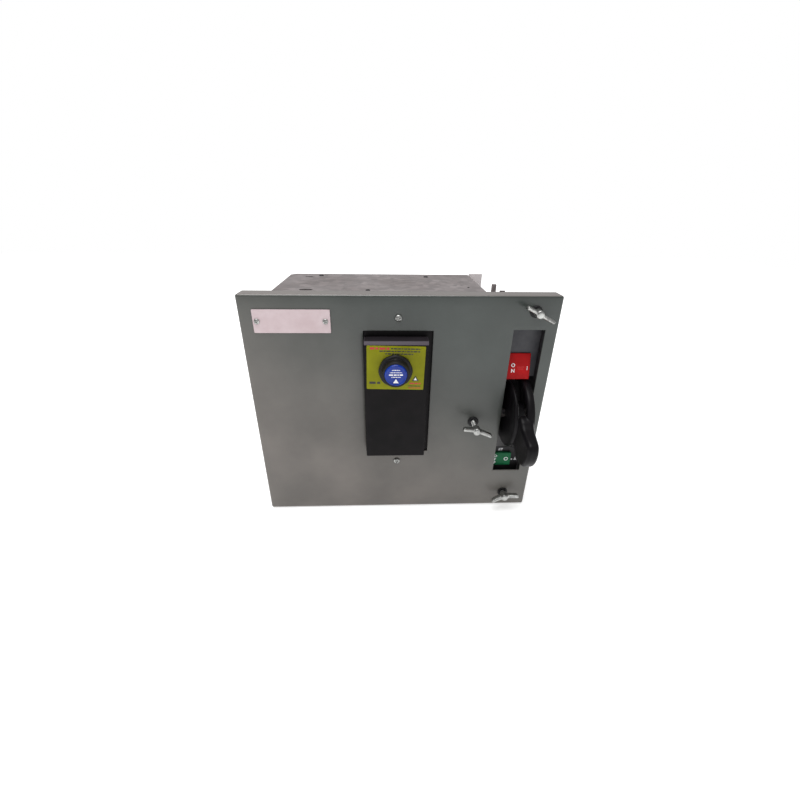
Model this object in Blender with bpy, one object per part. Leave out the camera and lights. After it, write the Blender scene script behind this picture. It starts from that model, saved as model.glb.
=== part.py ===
"""Flange-handled transfer switch unit: door, drawn pan, disconnect and drive.

Unit coordinates, in millimetres: x runs from the door's left edge, y back from
the door's front face, z up from the door's bottom edge. at() moves them to the
object's own frame, whose origin lies on the flat underside of the bottom panel.
"""

import math

import bmesh
import bpy
from mathutils import Matrix, Vector

# Door
DOOR_W = 390.0
DOOR_H = 323.0
DOOR_FLANGE = 22.0
SHEET = 2.0
BEND_R = 3.0
GAP = 0.3
DOOR_HINGE_X = 5.0
DOOR_HINGE_Y = 5.0
HINGE_LEAF_H = 44.0
HINGE_PIN_R = 1.2
KNUCKLE_R = 2.5

# Pan behind the door
PAN_X0 = 26.0
PAN_X1 = DOOR_W - 79.0
PAN_Y0 = 36.0
PAN_DEPTH = 159.0
PAN_Y1 = PAN_Y0 + PAN_DEPTH
PAN_Z0 = -1.0
PAN_Z1 = DOOR_H - 8.5
BACK_SET = 12.0
BARRIER_T = 3.0
BARRIER_OVER = 22.0

# Handle slot and its plates
SLOT_X0 = DOOR_W - 56.0
SLOT_X1 = DOOR_W - 16.0
SLOT_Z0 = 65.0
SLOT_Z1 = DOOR_H - 42.0
FACE_Y = 14.4
FACE_T = 1.5

# Handle and its drive
PIVOT_Y = 16.0
PIVOT_Z = 155.0
DRUM_R = 55.0
CHEEK_R = 48.0
ARCH_T = 10.0
HUB_R = 16.0
SHAFT_R = 6.0
RUN = 0.1
CRANK_R = 24.0
CRANK_OFF_DEG = 91.8
CROSSBAR_Y = 100.0
CROSSBAR_Z = 110.0
PIN_R = 3.0
LOOSE = 0.35

# Disconnect
BAR_R = 10.0
BLADE_L = 52.0
BLADE_W = 14.0
BLADE_T = 3.0
POLE_PITCH = 57.0
POLE_MID_X = 209.0
BASE_Y = 138.0
BASE_T = 30.0

# Pilot device on the door
HOUSING_W = 79.0
HOUSING_H = 163.5
HOUSING_OUT = 20.0
HOUSING_X = 188.0
HOUSING_Z0 = 108.0
BUTTON_Z = HOUSING_Z0 + HOUSING_H - 35.5
BUTTON_X = 187.0
BUTTON_R = 13.7
BORE_R = 14.0
RING_R = 20.75

# Wing screws
SHANK_R = 3.175
WING_R = 20.5
WING_HUB_R = 5.25
WING_HUB_L = 14.0
SCREW_L = 50.0
RETAINER_AT = 32.4

OFFSET = Vector((-DOOR_W / 2.0, -(PAN_Y1 / 2.0), -PAN_Z0))
MM = 0.001


def at(x, y, z):
    """Unit coordinates in millimetres to the object's frame in metres."""
    return (Vector((x, y, z)) + OFFSET) * MM


def clear_scene():
    for obj in list(bpy.data.objects):
        bpy.data.objects.remove(obj, do_unlink=True)


def linear(hex_colour):
    """sRGB hex to linear RGBA."""
    out = []
    for i in (1, 3, 5):
        c = int(hex_colour[i:i + 2], 16) / 255.0
        out.append(c / 12.92 if c <= 0.04045 else ((c + 0.055) / 1.055) ** 2.4)
    return (*out, 1.0)


def material(name, colour, roughness, metallic=0.0):
    mat = bpy.data.materials.get(name)
    if mat is None:
        mat = bpy.data.materials.new(name)
        mat.use_nodes = True
        shader = mat.node_tree.nodes["Principled BSDF"]
        shader.inputs["Base Color"].default_value = linear(colour)
        shader.inputs["Roughness"].default_value = roughness
        shader.inputs["Metallic"].default_value = metallic
        mat.diffuse_color = linear(colour)
    return mat


def make(name, bm, mat=None, pivot=None, smooth=True):
    """Turns a bmesh into an object; without a material it is a hidden helper."""
    bmesh.ops.recalc_face_normals(bm, faces=bm.faces)
    mesh = bpy.data.meshes.new(name)
    bm.to_mesh(mesh)
    bm.free()
    obj = bpy.data.objects.new(name, mesh)
    bpy.context.scene.collection.objects.link(obj)
    if mat is None:
        obj.hide_render = True
        obj.display_type = "WIRE"
    else:
        mesh.materials.append(mat)
        if smooth:
            mesh.shade_smooth()
            mesh.set_sharp_from_angle(angle=math.radians(30))
    if pivot is not None:
        mesh.transform(Matrix.Translation(-pivot))
        obj.location = pivot
    return obj


def box(name, lo, hi, mat=None, pivot=None, bevel=0.0, segments=2):
    bm = bmesh.new()
    bmesh.ops.create_cube(bm, size=1.0)
    low = at(*lo)
    high = at(*hi)
    for v in bm.verts:
        v.co = Vector([low[i] if v.co[i] < 0 else high[i] for i in range(3)])
    if bevel:
        bmesh.ops.bevel(
            bm, geom=bm.edges[:], offset=bevel * MM, segments=segments, profile=0.5, affect="EDGES"
        )
    return make(name, bm, mat, pivot)


AXES = {
    "X": (Vector((0, 1, 0)), Vector((0, 0, 1)), Vector((1, 0, 0))),
    "Y": (Vector((1, 0, 0)), Vector((0, 0, 1)), Vector((0, 1, 0))),
    "Z": (Vector((1, 0, 0)), Vector((0, 1, 0)), Vector((0, 0, 1))),
}


def turned(name, centre, axis, profile, mat=None, pivot=None, sides=32):
    """Revolves a closed outline of (radius, distance along the axis) points."""
    u, v, w = AXES[axis]
    base = at(*centre)
    bm = bmesh.new()
    rings = []
    for radius, along in profile:
        if radius == 0.0:
            rings.append([bm.verts.new(base + w * along * MM)])
            continue
        ring = []
        for k in range(sides):
            a = 2.0 * math.pi * k / sides
            ring.append(
                bm.verts.new(base + (u * math.cos(a) + v * math.sin(a)) * radius * MM + w * along * MM)
            )
        rings.append(ring)
    count = len(rings)
    for i in range(count):
        first = rings[i]
        second = rings[(i + 1) % count]
        if len(first) == 1 and len(second) == 1:
            continue
        for k in range(sides):
            n = (k + 1) % sides
            if len(first) == 1:
                bm.faces.new((first[0], second[k], second[n]))
            elif len(second) == 1:
                bm.faces.new((first[k], first[n], second[0]))
            else:
                bm.faces.new((first[k], first[n], second[n], second[k]))
    return make(name, bm, mat, pivot)


def rod(name, centre, axis, low, high, radius, mat=None, pivot=None, sides=32):
    profile = [(0.0, low), (radius, low), (radius, high), (0.0, high)]
    return turned(name, centre, axis, profile, mat, pivot, sides)


def ring(name, centre, axis, low, high, inner, outer, mat=None, pivot=None, sides=32):
    profile = [(inner, low), (outer, low), (outer, high), (inner, high)]
    return turned(name, centre, axis, profile, mat, pivot, sides)


def extruded(name, outline, axis, low, high, mat=None, pivot=None, bevel=0.0, segments=2):
    """Extrudes a closed outline along an axis. For X the points are (y, z), for Y (x, z), for Z (x, y)."""
    bm = bmesh.new()
    verts = []
    for a, b in outline:
        point = {"X": (low, a, b), "Y": (a, low, b), "Z": (a, b, low)}[axis]
        verts.append(bm.verts.new(at(*point)))
    face = bm.faces.new(verts)
    grown = bmesh.ops.extrude_face_region(bm, geom=[face])
    moved = [g for g in grown["geom"] if isinstance(g, bmesh.types.BMVert)]
    step = {"X": (1, 0, 0), "Y": (0, 1, 0), "Z": (0, 0, 1)}[axis]
    bmesh.ops.translate(bm, verts=moved, vec=Vector(step) * (high - low) * MM)
    if bevel:
        bmesh.ops.bevel(
            bm, geom=bm.edges[:], offset=bevel * MM, segments=segments, profile=0.5, affect="EDGES"
        )
    return make(name, bm, mat, pivot)


def boolean(target, helpers, operation):
    for helper in helpers:
        mod = target.modifiers.new(helper.name, "BOOLEAN")
        mod.operation = operation
        mod.solver = "EXACT"
        mod.object = helper
    return target


def unite(target, *helpers):
    return boolean(target, helpers, "UNION")


def carve(target, *helpers):
    return boolean(target, helpers, "DIFFERENCE")


def oval(cx, cy, length, width, turn=0.0, steps=8):
    """Outline of a slot with round ends, centred on (cx, cy)."""
    radius = width / 2.0
    half = length / 2.0 - radius
    points = []
    for side in (1, -1):
        for k in range(steps + 1):
            a = math.radians(-90 + 180 * k / steps) + (0 if side == 1 else math.pi)
            px = side * half + radius * math.cos(a)
            py = radius * math.sin(a)
            points.append(
                (
                    cx + px * math.cos(turn) - py * math.sin(turn),
                    cy + px * math.sin(turn) + py * math.cos(turn),
                )
            )
    return points


def capsule(y0, z0, r0, y1, z1, r1, steps=10):
    """Outline of a tapered arm with a round end at each of two points."""
    span = math.hypot(y1 - y0, z1 - z0)
    heading = math.atan2(z1 - z0, y1 - y0)
    lean = math.acos((r0 - r1) / span)
    points = []
    for k in range(steps + 1):
        a = heading - lean + 2.0 * lean * k / steps
        points.append((y1 + r1 * math.cos(a), z1 + r1 * math.sin(a)))
    for k in range(steps + 1):
        a = heading + lean + (2.0 * math.pi - 2.0 * lean) * k / steps
        points.append((y0 + r0 * math.cos(a), z0 + r0 * math.sin(a)))
    return points


def finishes():
    return {
        "paint": material("grey_green_enamel", "#5d6660", 0.42),
        "zinc_sheet": material("galvanised_steel", "#989092", 0.45, 0.85),
        "zinc": material("zinc_plated_steel", "#a9aaa8", 0.32, 1.0),
        "steel": material("dark_oxide_steel", "#4a4a4c", 0.45, 0.9),
        "black": material("black_phenolic", "#1c1a1d", 0.38),
        "satin_black": material("black_nylon", "#242226", 0.5),
        "grey": material("grey_steel_paint", "#5a5c60", 0.45),
        "red": material("red_abs", "#9b1a1e", 0.35),
        "green": material("green_abs", "#1f7a4a", 0.4),
        "white": material("white_polyester_glass", "#e2dcde", 0.55),
        "plate": material("white_laminate", "#d5c8cc", 0.35),
        "label": material("yellow_vinyl", "#a3a52c", 0.4),
        "blue": material("blue_acrylic", "#1f56c8", 0.2),
        "copper": material("silver_plated_copper", "#b5a08c", 0.3, 1.0),
        "brown": material("glass_filled_polyester", "#3b3234", 0.5),
    }


def door(m):
    """Folded door: a tray with four flanges, the device cut-out, the handle slot and three screw holes."""
    hinge = at(DOOR_HINGE_X, DOOR_HINGE_Y, DOOR_H / 2.0)
    outer = [(0, BEND_R), (BEND_R * 0.3, BEND_R * 0.3), (BEND_R, 0)]
    bm = bmesh.new()
    bmesh.ops.create_cube(bm, size=1.0)
    low = at(0, 0, 0)
    high = at(DOOR_W, DOOR_FLANGE, DOOR_H)
    for v in bm.verts:
        v.co = Vector([low[i] if v.co[i] < 0 else high[i] for i in range(3)])
    front = [e for e in bm.edges if all(abs(v.co.y - low.y) < 1e-7 for v in e.verts)]
    upright = [
        e for e in bm.edges if abs(e.verts[0].co.y - e.verts[1].co.y) > 1e-4
    ]
    bmesh.ops.bevel(
        bm,
        geom=front + upright,
        offset=outer[2][0] * MM,
        segments=3,
        profile=0.5,
        affect="EDGES",
    )
    panel = make("door_panel", bm, m["paint"], hinge)
    inside = box(
        "cut_door_inside", (SHEET, SHEET, SHEET), (DOOR_W - SHEET, DOOR_FLANGE + 5, DOOR_H - SHEET),
        bevel=1.0,
    )
    opening = box(
        "cut_device", (HOUSING_X - 40.8, -5, HOUSING_Z0 - 6.5),
        (HOUSING_X + 46.2, 10, HOUSING_Z0 + HOUSING_H + 8.3),
    )
    slot = box("cut_slot", (SLOT_X0, -5, SLOT_Z0), (SLOT_X1, 10, SLOT_Z1))
    cuts = [inside, opening, slot]
    for n, (x, z) in enumerate(wing_places()):
        cuts.append(rod(f"cut_wing_{n}", (x, 0, z), "Y", -5, 10, 5.0, sides=24))
    for n, (x, z) in enumerate(nameplate_holes()):
        cuts.append(rod(f"cut_name_{n}", (x, 0, z), "Y", -5, 10, 1.9, sides=16))
    for n, (x, z) in enumerate(housing_holes()):
        cuts.append(rod(f"cut_house_{n}", (x, 0, z), "Y", -5, 10, 2.5, sides=16))
    for n, z in enumerate(hinge_heights()):
        cuts.append(
            box(
                f"cut_hinge_{n}",
                (-5, SHEET + 0.2, z - HINGE_LEAF_H / 2 - 2),
                (SHEET + 2, DOOR_FLANGE + 5, z + HINGE_LEAF_H / 2 + 2),
            )
        )
    carve(panel, *cuts)
    return hinge


def wing_places():
    return [(DOOR_W - 32.0, DOOR_H - 19.0), (DOOR_W - 94.0, DOOR_H - 173.0), (DOOR_W - 36.0, 25.0)]


def nameplate_holes():
    return [(22.0, DOOR_H - 31.5), (103.0, DOOR_H - 31.5)]


def housing_holes():
    return [
        (HOUSING_X + 2.7, HOUSING_Z0 + HOUSING_H + 24.0),
        (HOUSING_X + 2.7, HOUSING_Z0 - 22.2),
    ]


def hinge_heights():
    return [DOOR_H - 60.0, 60.0]


def door_hinges(m, hinge):
    """Two concealed hinges: a leaf on the door with its pin, and a bent leaf from the pan."""
    for place, z in zip(("upper", "lower"), hinge_heights()):
        half = HINGE_LEAF_H / 2.0
        centre = (DOOR_HINGE_X, DOOR_HINGE_Y, z)
        leaf = box(
            f"door_hinge_{place}",
            (DOOR_HINGE_X + 1.0, SHEET + GAP, z - half),
            (DOOR_HINGE_X + 26.0, SHEET + GAP + 1.5, z - GAP / 2 - 1),
            m["zinc"],
            hinge,
        )
        barrel = rod(
            f"join_barrel_{place}", centre, "Z", -half, -GAP / 2 - 1, KNUCKLE_R, sides=24
        )
        pin = rod(f"join_pin_{place}", centre, "Z", -half + 2, half - 2, HINGE_PIN_R, sides=24)
        unite(leaf, barrel, pin)
        arm = box(
            f"pan_hinge_{place}",
            (DOOR_HINGE_X - 1.0, DOOR_HINGE_Y + 1.6, z + GAP / 2 + 0.5),
            (DOOR_HINGE_X + 1.0, PAN_Y0 - GAP, z + half),
            m["zinc"],
        )
        foot = box(
            f"join_foot_{place}",
            (DOOR_HINGE_X - 1.0, PAN_Y0 - GAP - 2.0, z + GAP / 2 + 0.5),
            (PAN_X0 + 16.0, PAN_Y0 - GAP, z + half),
        )
        knuckle = rod(
            f"join_knuckle_{place}", centre, "Z", GAP / 2 + 0.5, half, KNUCKLE_R, sides=24
        )
        bore = rod(
            f"cut_bore_{place}", centre, "Z", -5, half + 5, HINGE_PIN_R + RUN, sides=24
        )
        unite(arm, foot, knuckle)
        carve(arm, bore)


def pan(m):
    """Five sheet panels, the barrier behind them and the bracket for the middle screw."""
    g = GAP
    x0 = PAN_X0
    x1 = PAN_X1
    z0 = PAN_Z0
    z1 = PAN_Z1
    back = PAN_Y1 - BACK_SET
    top = extruded(
        "top_panel",
        [(x0, PAN_Y0), (x1, PAN_Y0), (x1, PAN_Y1), (x0 + 8, PAN_Y1), (x0, PAN_Y1 - 8)],
        "Z", z1 - SHEET, z1, m["zinc_sheet"],
    )
    lip = box("join_top_lip", (x0, PAN_Y0, z1 - 14), (x1, PAN_Y0 + SHEET, z1 - 1))
    unite(top, lip)
    holes = [
        extruded("cut_top_a", oval(x0 + 43.5, PAN_Y0 + 34, 18, 8), "Z", z1 - 6, z1 + 5),
        extruded("cut_top_b", oval(x0 + 32, PAN_Y0 + 132, 12, 5), "Z", z1 - 6, z1 + 5),
        rod("cut_top_c", (x0 + 49.5, PAN_Y0 + 142, z1), "Z", -6, 5, 3.0, sides=16),
        rod("cut_top_d", (x0 + 126, PAN_Y0 + 32, z1), "Z", -6, 5, 2.25, sides=16),
    ]
    carve(top, *holes)
    bottom = extruded(
        "bottom_panel",
        [(x0, PAN_Y0), (x1, PAN_Y0), (x1, PAN_Y1), (x0 + 8, PAN_Y1), (x0, PAN_Y1 - 8)],
        "Z", z0, z0 + SHEET, m["zinc_sheet"],
    )
    unite(bottom, box("join_bottom_lip", (x0, PAN_Y0, z0 + 1), (x1, PAN_Y0 + SHEET, z0 + 14)))
    left = box(
        "left_side_panel", (x0, PAN_Y0 + SHEET + g, z0 + SHEET + g),
        (x0 + SHEET, back + SHEET, z1 - SHEET - g), m["zinc_sheet"],
    )
    unite(
        left,
        box(
            "join_left_flange", (x0, PAN_Y0, z0 + 14 + g), (x0 + 18, PAN_Y0 + SHEET, z1 - 14 - g)
        ),
        box(
            "join_left_web", (x0, PAN_Y0 + 1, z0 + 14 + g), (x0 + SHEET, PAN_Y0 + 4, z1 - 14 - g)
        ),
    )
    right = box(
        "right_side_panel", (x1 - SHEET, PAN_Y0 + SHEET + g, z0 + SHEET + g),
        (x1, back + SHEET, z1 - SHEET - g), m["zinc_sheet"],
    )
    unite(
        right,
        box(
            "join_right_flange", (x1 - 26, PAN_Y0, z0 + 14 + g), (x1, PAN_Y0 + SHEET, z1 - 14 - g)
        ),
        box(
            "join_right_web", (x1 - SHEET, PAN_Y0 + 1, z0 + 14 + g), (x1, PAN_Y0 + 4, z1 - 14 - g)
        ),
    )
    carve(
        right,
        rod("cut_drive_hole", (x1, CROSSBAR_Y, CROSSBAR_Z), "X", -6, 6, SHAFT_R + 3, sides=24),
    )
    box(
        "back_panel", (x0 + SHEET + g, back, z0 + SHEET + g),
        (x1 - SHEET - g, back + SHEET, z1 - SHEET - g), m["zinc_sheet"],
    )
    behind = back + SHEET + g
    barrier = box(
        "rear_barrier", (x0 + 34, behind, z0 + 20),
        (x1 + BARRIER_OVER, behind + BARRIER_T, z1 - SHEET - g), m["white"],
    )
    unite(
        barrier,
        box(
            "join_barrier_ear", (x1 + g, behind, z1 - 40),
            (x1 + BARRIER_OVER, behind + BARRIER_T, z1 + 3),
        ),
    )
    carve(
        barrier,
        rod("cut_stab_bolt", (HOUSING_X, behind, 165), "Y", -4, 10, 4.0, sides=16),
    )
    _, mid = wing_places()[0], wing_places()[1]
    bracket = box(
        "catch_bracket", (x1 - 26, 24, mid[1] - 13), (x1 - 2, 26, mid[1] + 13), m["zinc"]
    )
    unite(
        bracket,
        box("join_leg_a", (x1 - 26, 24.5, mid[1] - 14), (x1 - 2, PAN_Y0 - g, mid[1] - 12)),
        box("join_leg_b", (x1 - 26, 24.5, mid[1] + 12), (x1 - 2, PAN_Y0 - g, mid[1] + 14)),
    )
    carve(bracket, rod("cut_catch", (mid[0], 25, mid[1]), "Y", -5, 5, 4.4, sides=24))


def stab_plug(m):
    """Moulded plug on the back with three copper stabs in open pockets."""
    start = PAN_Y1 - BACK_SET + SHEET + GAP + BARRIER_T + GAP
    deep = 33.0
    x = HOUSING_X
    block = box(
        "stab_housing", (x - 48, start, 120), (x + 48, start + deep, 210), m["brown"],
        bevel=1.5, segments=1,
    )
    pockets = []
    for n in range(3):
        px = x + (n - 1) * 30.0
        pockets.append(
            box(f"cut_pocket_{n}", (px - 9, start + 14, 115), (px + 9, start + deep + 5, 215))
        )
        stab = box(
            f"power_stab_{n + 1}", (px - 5, start + 14.3, 147), (px + 5, start + 17.3, 183),
            m["copper"],
        )
        unite(
            stab,
            box(f"join_leaf_a{n}", (px - 5, start + 15, 147), (px - 3, start + 31, 183)),
            box(f"join_leaf_b{n}", (px + 3, start + 15, 147), (px + 5, start + 31, 183)),
        )
    carve(block, *pockets)


def crank_point(deg):
    a = math.radians(deg)
    return CRANK_R * math.cos(a), CRANK_R * math.sin(a)


def mechanism(m):
    """U-shaped frame beside the pan with the face plates, the coloured plates and the weld nuts."""
    g = GAP
    x0 = PAN_X1 + g
    x1 = DOOR_W - 12.0
    y1 = CROSSBAR_Y + 38.0
    top = DOOR_H - 33.0
    frame = box("mechanism_frame", (x0, 4, 40), (x0 + SHEET, y1, top), m["zinc_sheet"])
    tabs = [
        extruded(
            "join_frame_right",
            [(4, 8), (y1, 8), (y1, top), (60, top), (40, DOOR_H - 7), (4, DOOR_H - 7)],
            "X", x1 - SHEET, x1,
        ),
        box("join_frame_web", (x0, y1 - SHEET, 41), (x1, y1, top - 1)),
        box("join_tab_top", (x1 - 38, 24, DOOR_H - 29), (x1 - 1, 26, DOOR_H - 7.5)),
        box("join_tab_bottom", (x1 - 40, 24, 8.5), (x1 - 1, 26, 40)),
        box("join_frame_cap", (x0, 46, top - SHEET), (x0 + 36, y1 - 1, top)),
        box("join_ear_tall", (x0 + 16.5, 97, top - 1), (x0 + 22, 103, DOOR_H - 5.5)),
        box("join_ear_low", (x0 + 17, 60, top - 1), (x0 + 24, 62.5, DOOR_H - 6.5)),
    ]
    unite(frame, *tabs)
    cuts = [
        rod("cut_pivot_left", (x0, PIVOT_Y, PIVOT_Z), "X", -8, 8, SHAFT_R + RUN),
        rod("cut_pivot_right", (x1, PIVOT_Y, PIVOT_Z), "X", -8, 8, SHAFT_R + RUN),
        rod("cut_cross_left", (x0, CROSSBAR_Y, CROSSBAR_Z), "X", -8, 8, SHAFT_R + RUN),
    ]
    for n in (0, 2):
        x, z = wing_places()[n]
        cuts.append(rod(f"cut_tab_{n}", (x, 25, z), "Y", -5, 5, 4.4, sides=24))
    carve(frame, *cuts)
    for n, place in enumerate(("top", "middle", "bottom")):
        x, z = wing_places()[n]
        nut = extruded(
            f"weld_nut_{place}",
            [
                (x + 7.4 * math.cos(math.pi * k / 3), z + 7.4 * math.sin(math.pi * k / 3))
                for k in range(6)
            ],
            "Y", 26 + g, 32, m["zinc"],
        )
        carve(nut, rod(f"cut_nut_{place}", (x, 29, z), "Y", -8, 8, SHANK_R + 0.625, sides=24))
    px0 = x0 + SHEET + g
    px1 = x1 - SHEET - 0.5
    plate = box(
        "upper_face_plate", (px0, FACE_Y, PIVOT_Z + DRUM_R + 2.5), (px1, FACE_Y + FACE_T, DOOR_H - 37),
        m["grey"],
    )
    unite(
        plate,
        box("join_face_up", (px0, FACE_Y + 0.5, PIVOT_Z + DRUM_R + 2.5),
            (px0 + FACE_T, FACE_Y + 16, DOOR_H - 37)),
    )
    lower = box(
        "lower_face_plate", (px0, FACE_Y, 46), (px1, FACE_Y + FACE_T, PIVOT_Z - DRUM_R - 3),
        m["satin_black"],
    )
    unite(
        lower,
        box("join_face_low", (px0, FACE_Y + 0.5, 46), (px0 + FACE_T, FACE_Y + 16, PIVOT_Z - DRUM_R - 3)),
    )
    foot = PIVOT_Z + DRUM_R + 2.0
    extruded(
        "on_plate",
        [(FACE_Y - g, foot), (FACE_Y - g, foot + 34), (12, foot + 34), (10.5, foot + 28), (4.5, foot)],
        "X", SLOT_X0 - 9, SLOT_X1 - 8, m["red"],
    )
    box(
        "off_plate", (SLOT_X0 - 9, 9.5, 68), (SLOT_X1 - 12, FACE_Y - g, 90), m["green"],
        bevel=0.8, segments=1,
    )


def handle(m):
    """Loop handle on its shaft: a hub with a side cheek, an arched band and a forward grip."""
    pivot = at((SLOT_X0 + SLOT_X1) / 2, PIVOT_Y, PIVOT_Z)
    centre = (0, PIVOT_Y, PIVOT_Z)
    x0 = SLOT_X0 + 9
    x1 = SLOT_X1 - 5.5
    body = turned(
        "operating_handle",
        centre,
        "X",
        [
            (0, x0), (CHEEK_R - 2.5, x0), (CHEEK_R, x0 + 2), (CHEEK_R, x0 + 5),
            (CHEEK_R - 1.5, x0 + 6.5), (HUB_R, x0 + 6.5), (HUB_R, x1), (0, x1),
        ],
        m["black"],
        pivot,
        sides=56,
    )
    band0 = x1 - 10.5
    arch = arc_band(
        "join_arch", band0, x1, DRUM_R - ARCH_T, DRUM_R, -40.0, 150.0, 34
    )
    spokes = [
        spoke("join_spoke_a", x0 + 4, x1 - 1, 115.0, 8.0),
        spoke("join_spoke_b", x0 + 4, x1 - 1, -36.0, 10.0),
    ]
    fy = PIVOT_Y
    grip = extruded(
        "join_grip",
        [
            (fy - 42, PIVOT_Z + 22), (fy - 42, PIVOT_Z - 27), (fy - 52, PIVOT_Z - 33),
            (fy - 62, PIVOT_Z - 38), (fy - 76, PIVOT_Z - 38), (fy - 84, PIVOT_Z - 33),
            (fy - 91.5, PIVOT_Z - 22), (fy - 94.5, PIVOT_Z - 10), (fy - 92.5, PIVOT_Z - 1),
            (fy - 88, PIVOT_Z + 4), (fy - 72, PIVOT_Z + 7), (fy - 60, PIVOT_Z + 10),
            (fy - 52, PIVOT_Z + 18),
        ],
        "X", x0 + 4.5, x1 - 1.5, bevel=3.0, segments=2,
    )
    flank = extruded(
        "cut_grip_flank",
        [
            (SLOT_X1 - 7, fy - 46), (SLOT_X1 - 12.2, fy - 95.5), (SLOT_X1 - 12.6, fy - 101),
            (SLOT_X1 + 6, fy - 101), (SLOT_X1 + 6, fy - 46),
        ],
        "Z", PIVOT_Z - 60, PIVOT_Z + 60,
    )
    carve(grip, flank)
    unite(body, arch, *spokes, grip)
    carve(body, rod("cut_handle_bore", centre, "X", x0 - 5, x1 + 5, SHAFT_R + GAP))
    shaft = rod(
        "handle_shaft", centre, "X", PAN_X1 - 2, DOOR_W - 10, SHAFT_R, m["steel"], pivot
    )
    dy, dz = crank_point(CRANK_OFF_DEG)
    arm_x = PAN_X1 + 15.0
    arm = extruded(
        "join_handle_crank",
        capsule(PIVOT_Y, PIVOT_Z, 11.0, PIVOT_Y + dy, PIVOT_Z + dz, 7.0),
        "X", arm_x, arm_x + 6,
    )
    pin = rod(
        "join_handle_pin", (0, PIVOT_Y + dy, PIVOT_Z + dz), "X", arm_x - 9, arm_x + 1, PIN_R,
        sides=24,
    )
    unite(shaft, arm, pin)
    link_pivot = at(arm_x - 5, PIVOT_Y + dy, PIVOT_Z + dz)
    link = extruded(
        "drive_link",
        capsule(
            PIVOT_Y + dy, PIVOT_Z + dz, 7.5, CROSSBAR_Y + dy, CROSSBAR_Z + dz, 7.4
        ),
        "X", arm_x - 7.7, arm_x - GAP - 0.5, m["zinc"], link_pivot,
    )
    carve(
        link,
        rod("cut_link_a", (0, PIVOT_Y + dy, PIVOT_Z + dz), "X", arm_x - 15, arm_x + 5, PIN_R + RUN,
            sides=24),
        rod("cut_link_b", (0, CROSSBAR_Y + dy, CROSSBAR_Z + dz), "X", arm_x - 15, arm_x + 5,
            PIN_R + LOOSE, sides=24),
    )


def arc_band(name, x0, x1, inner, outer, start, end, steps):
    """Band bent about the handle's axis. Angles rise from straight ahead towards straight up."""
    chamfer = 2.0
    section = [
        (x0, inner + chamfer), (x0 + chamfer, inner), (x1 - chamfer, inner), (x1, inner + chamfer),
        (x1, outer - chamfer), (x1 - chamfer, outer), (x0 + chamfer, outer), (x0, outer - chamfer),
    ]
    bm = bmesh.new()
    loops = []
    for k in range(steps + 1):
        a = math.radians(start + (end - start) * k / steps)
        loops.append(
            [
                bm.verts.new(at(x, PIVOT_Y - r * math.cos(a), PIVOT_Z + r * math.sin(a)))
                for x, r in section
            ]
        )
    for first, second in zip(loops, loops[1:]):
        for i in range(len(section)):
            j = (i + 1) % len(section)
            bm.faces.new((first[i], first[j], second[j], second[i]))
    bm.faces.new(loops[0])
    bm.faces.new(loops[-1])
    return make(name, bm)


def spoke(name, x0, x1, angle, width):
    """Flat rib from inside the hub to inside the band at an angle above straight ahead."""
    a = math.radians(angle)
    along = (-math.cos(a), math.sin(a))
    across = (-along[1], along[0])
    outline = []
    for reach, side in ((10, 1), (DRUM_R - 4, 1), (DRUM_R - 4, -1), (10, -1)):
        outline.append(
            (
                PIVOT_Y + along[0] * reach + across[0] * side * width / 2,
                PIVOT_Z + along[1] * reach + across[1] * side * width / 2,
            )
        )
    return extruded(name, outline, "X", x0, x1)


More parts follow.
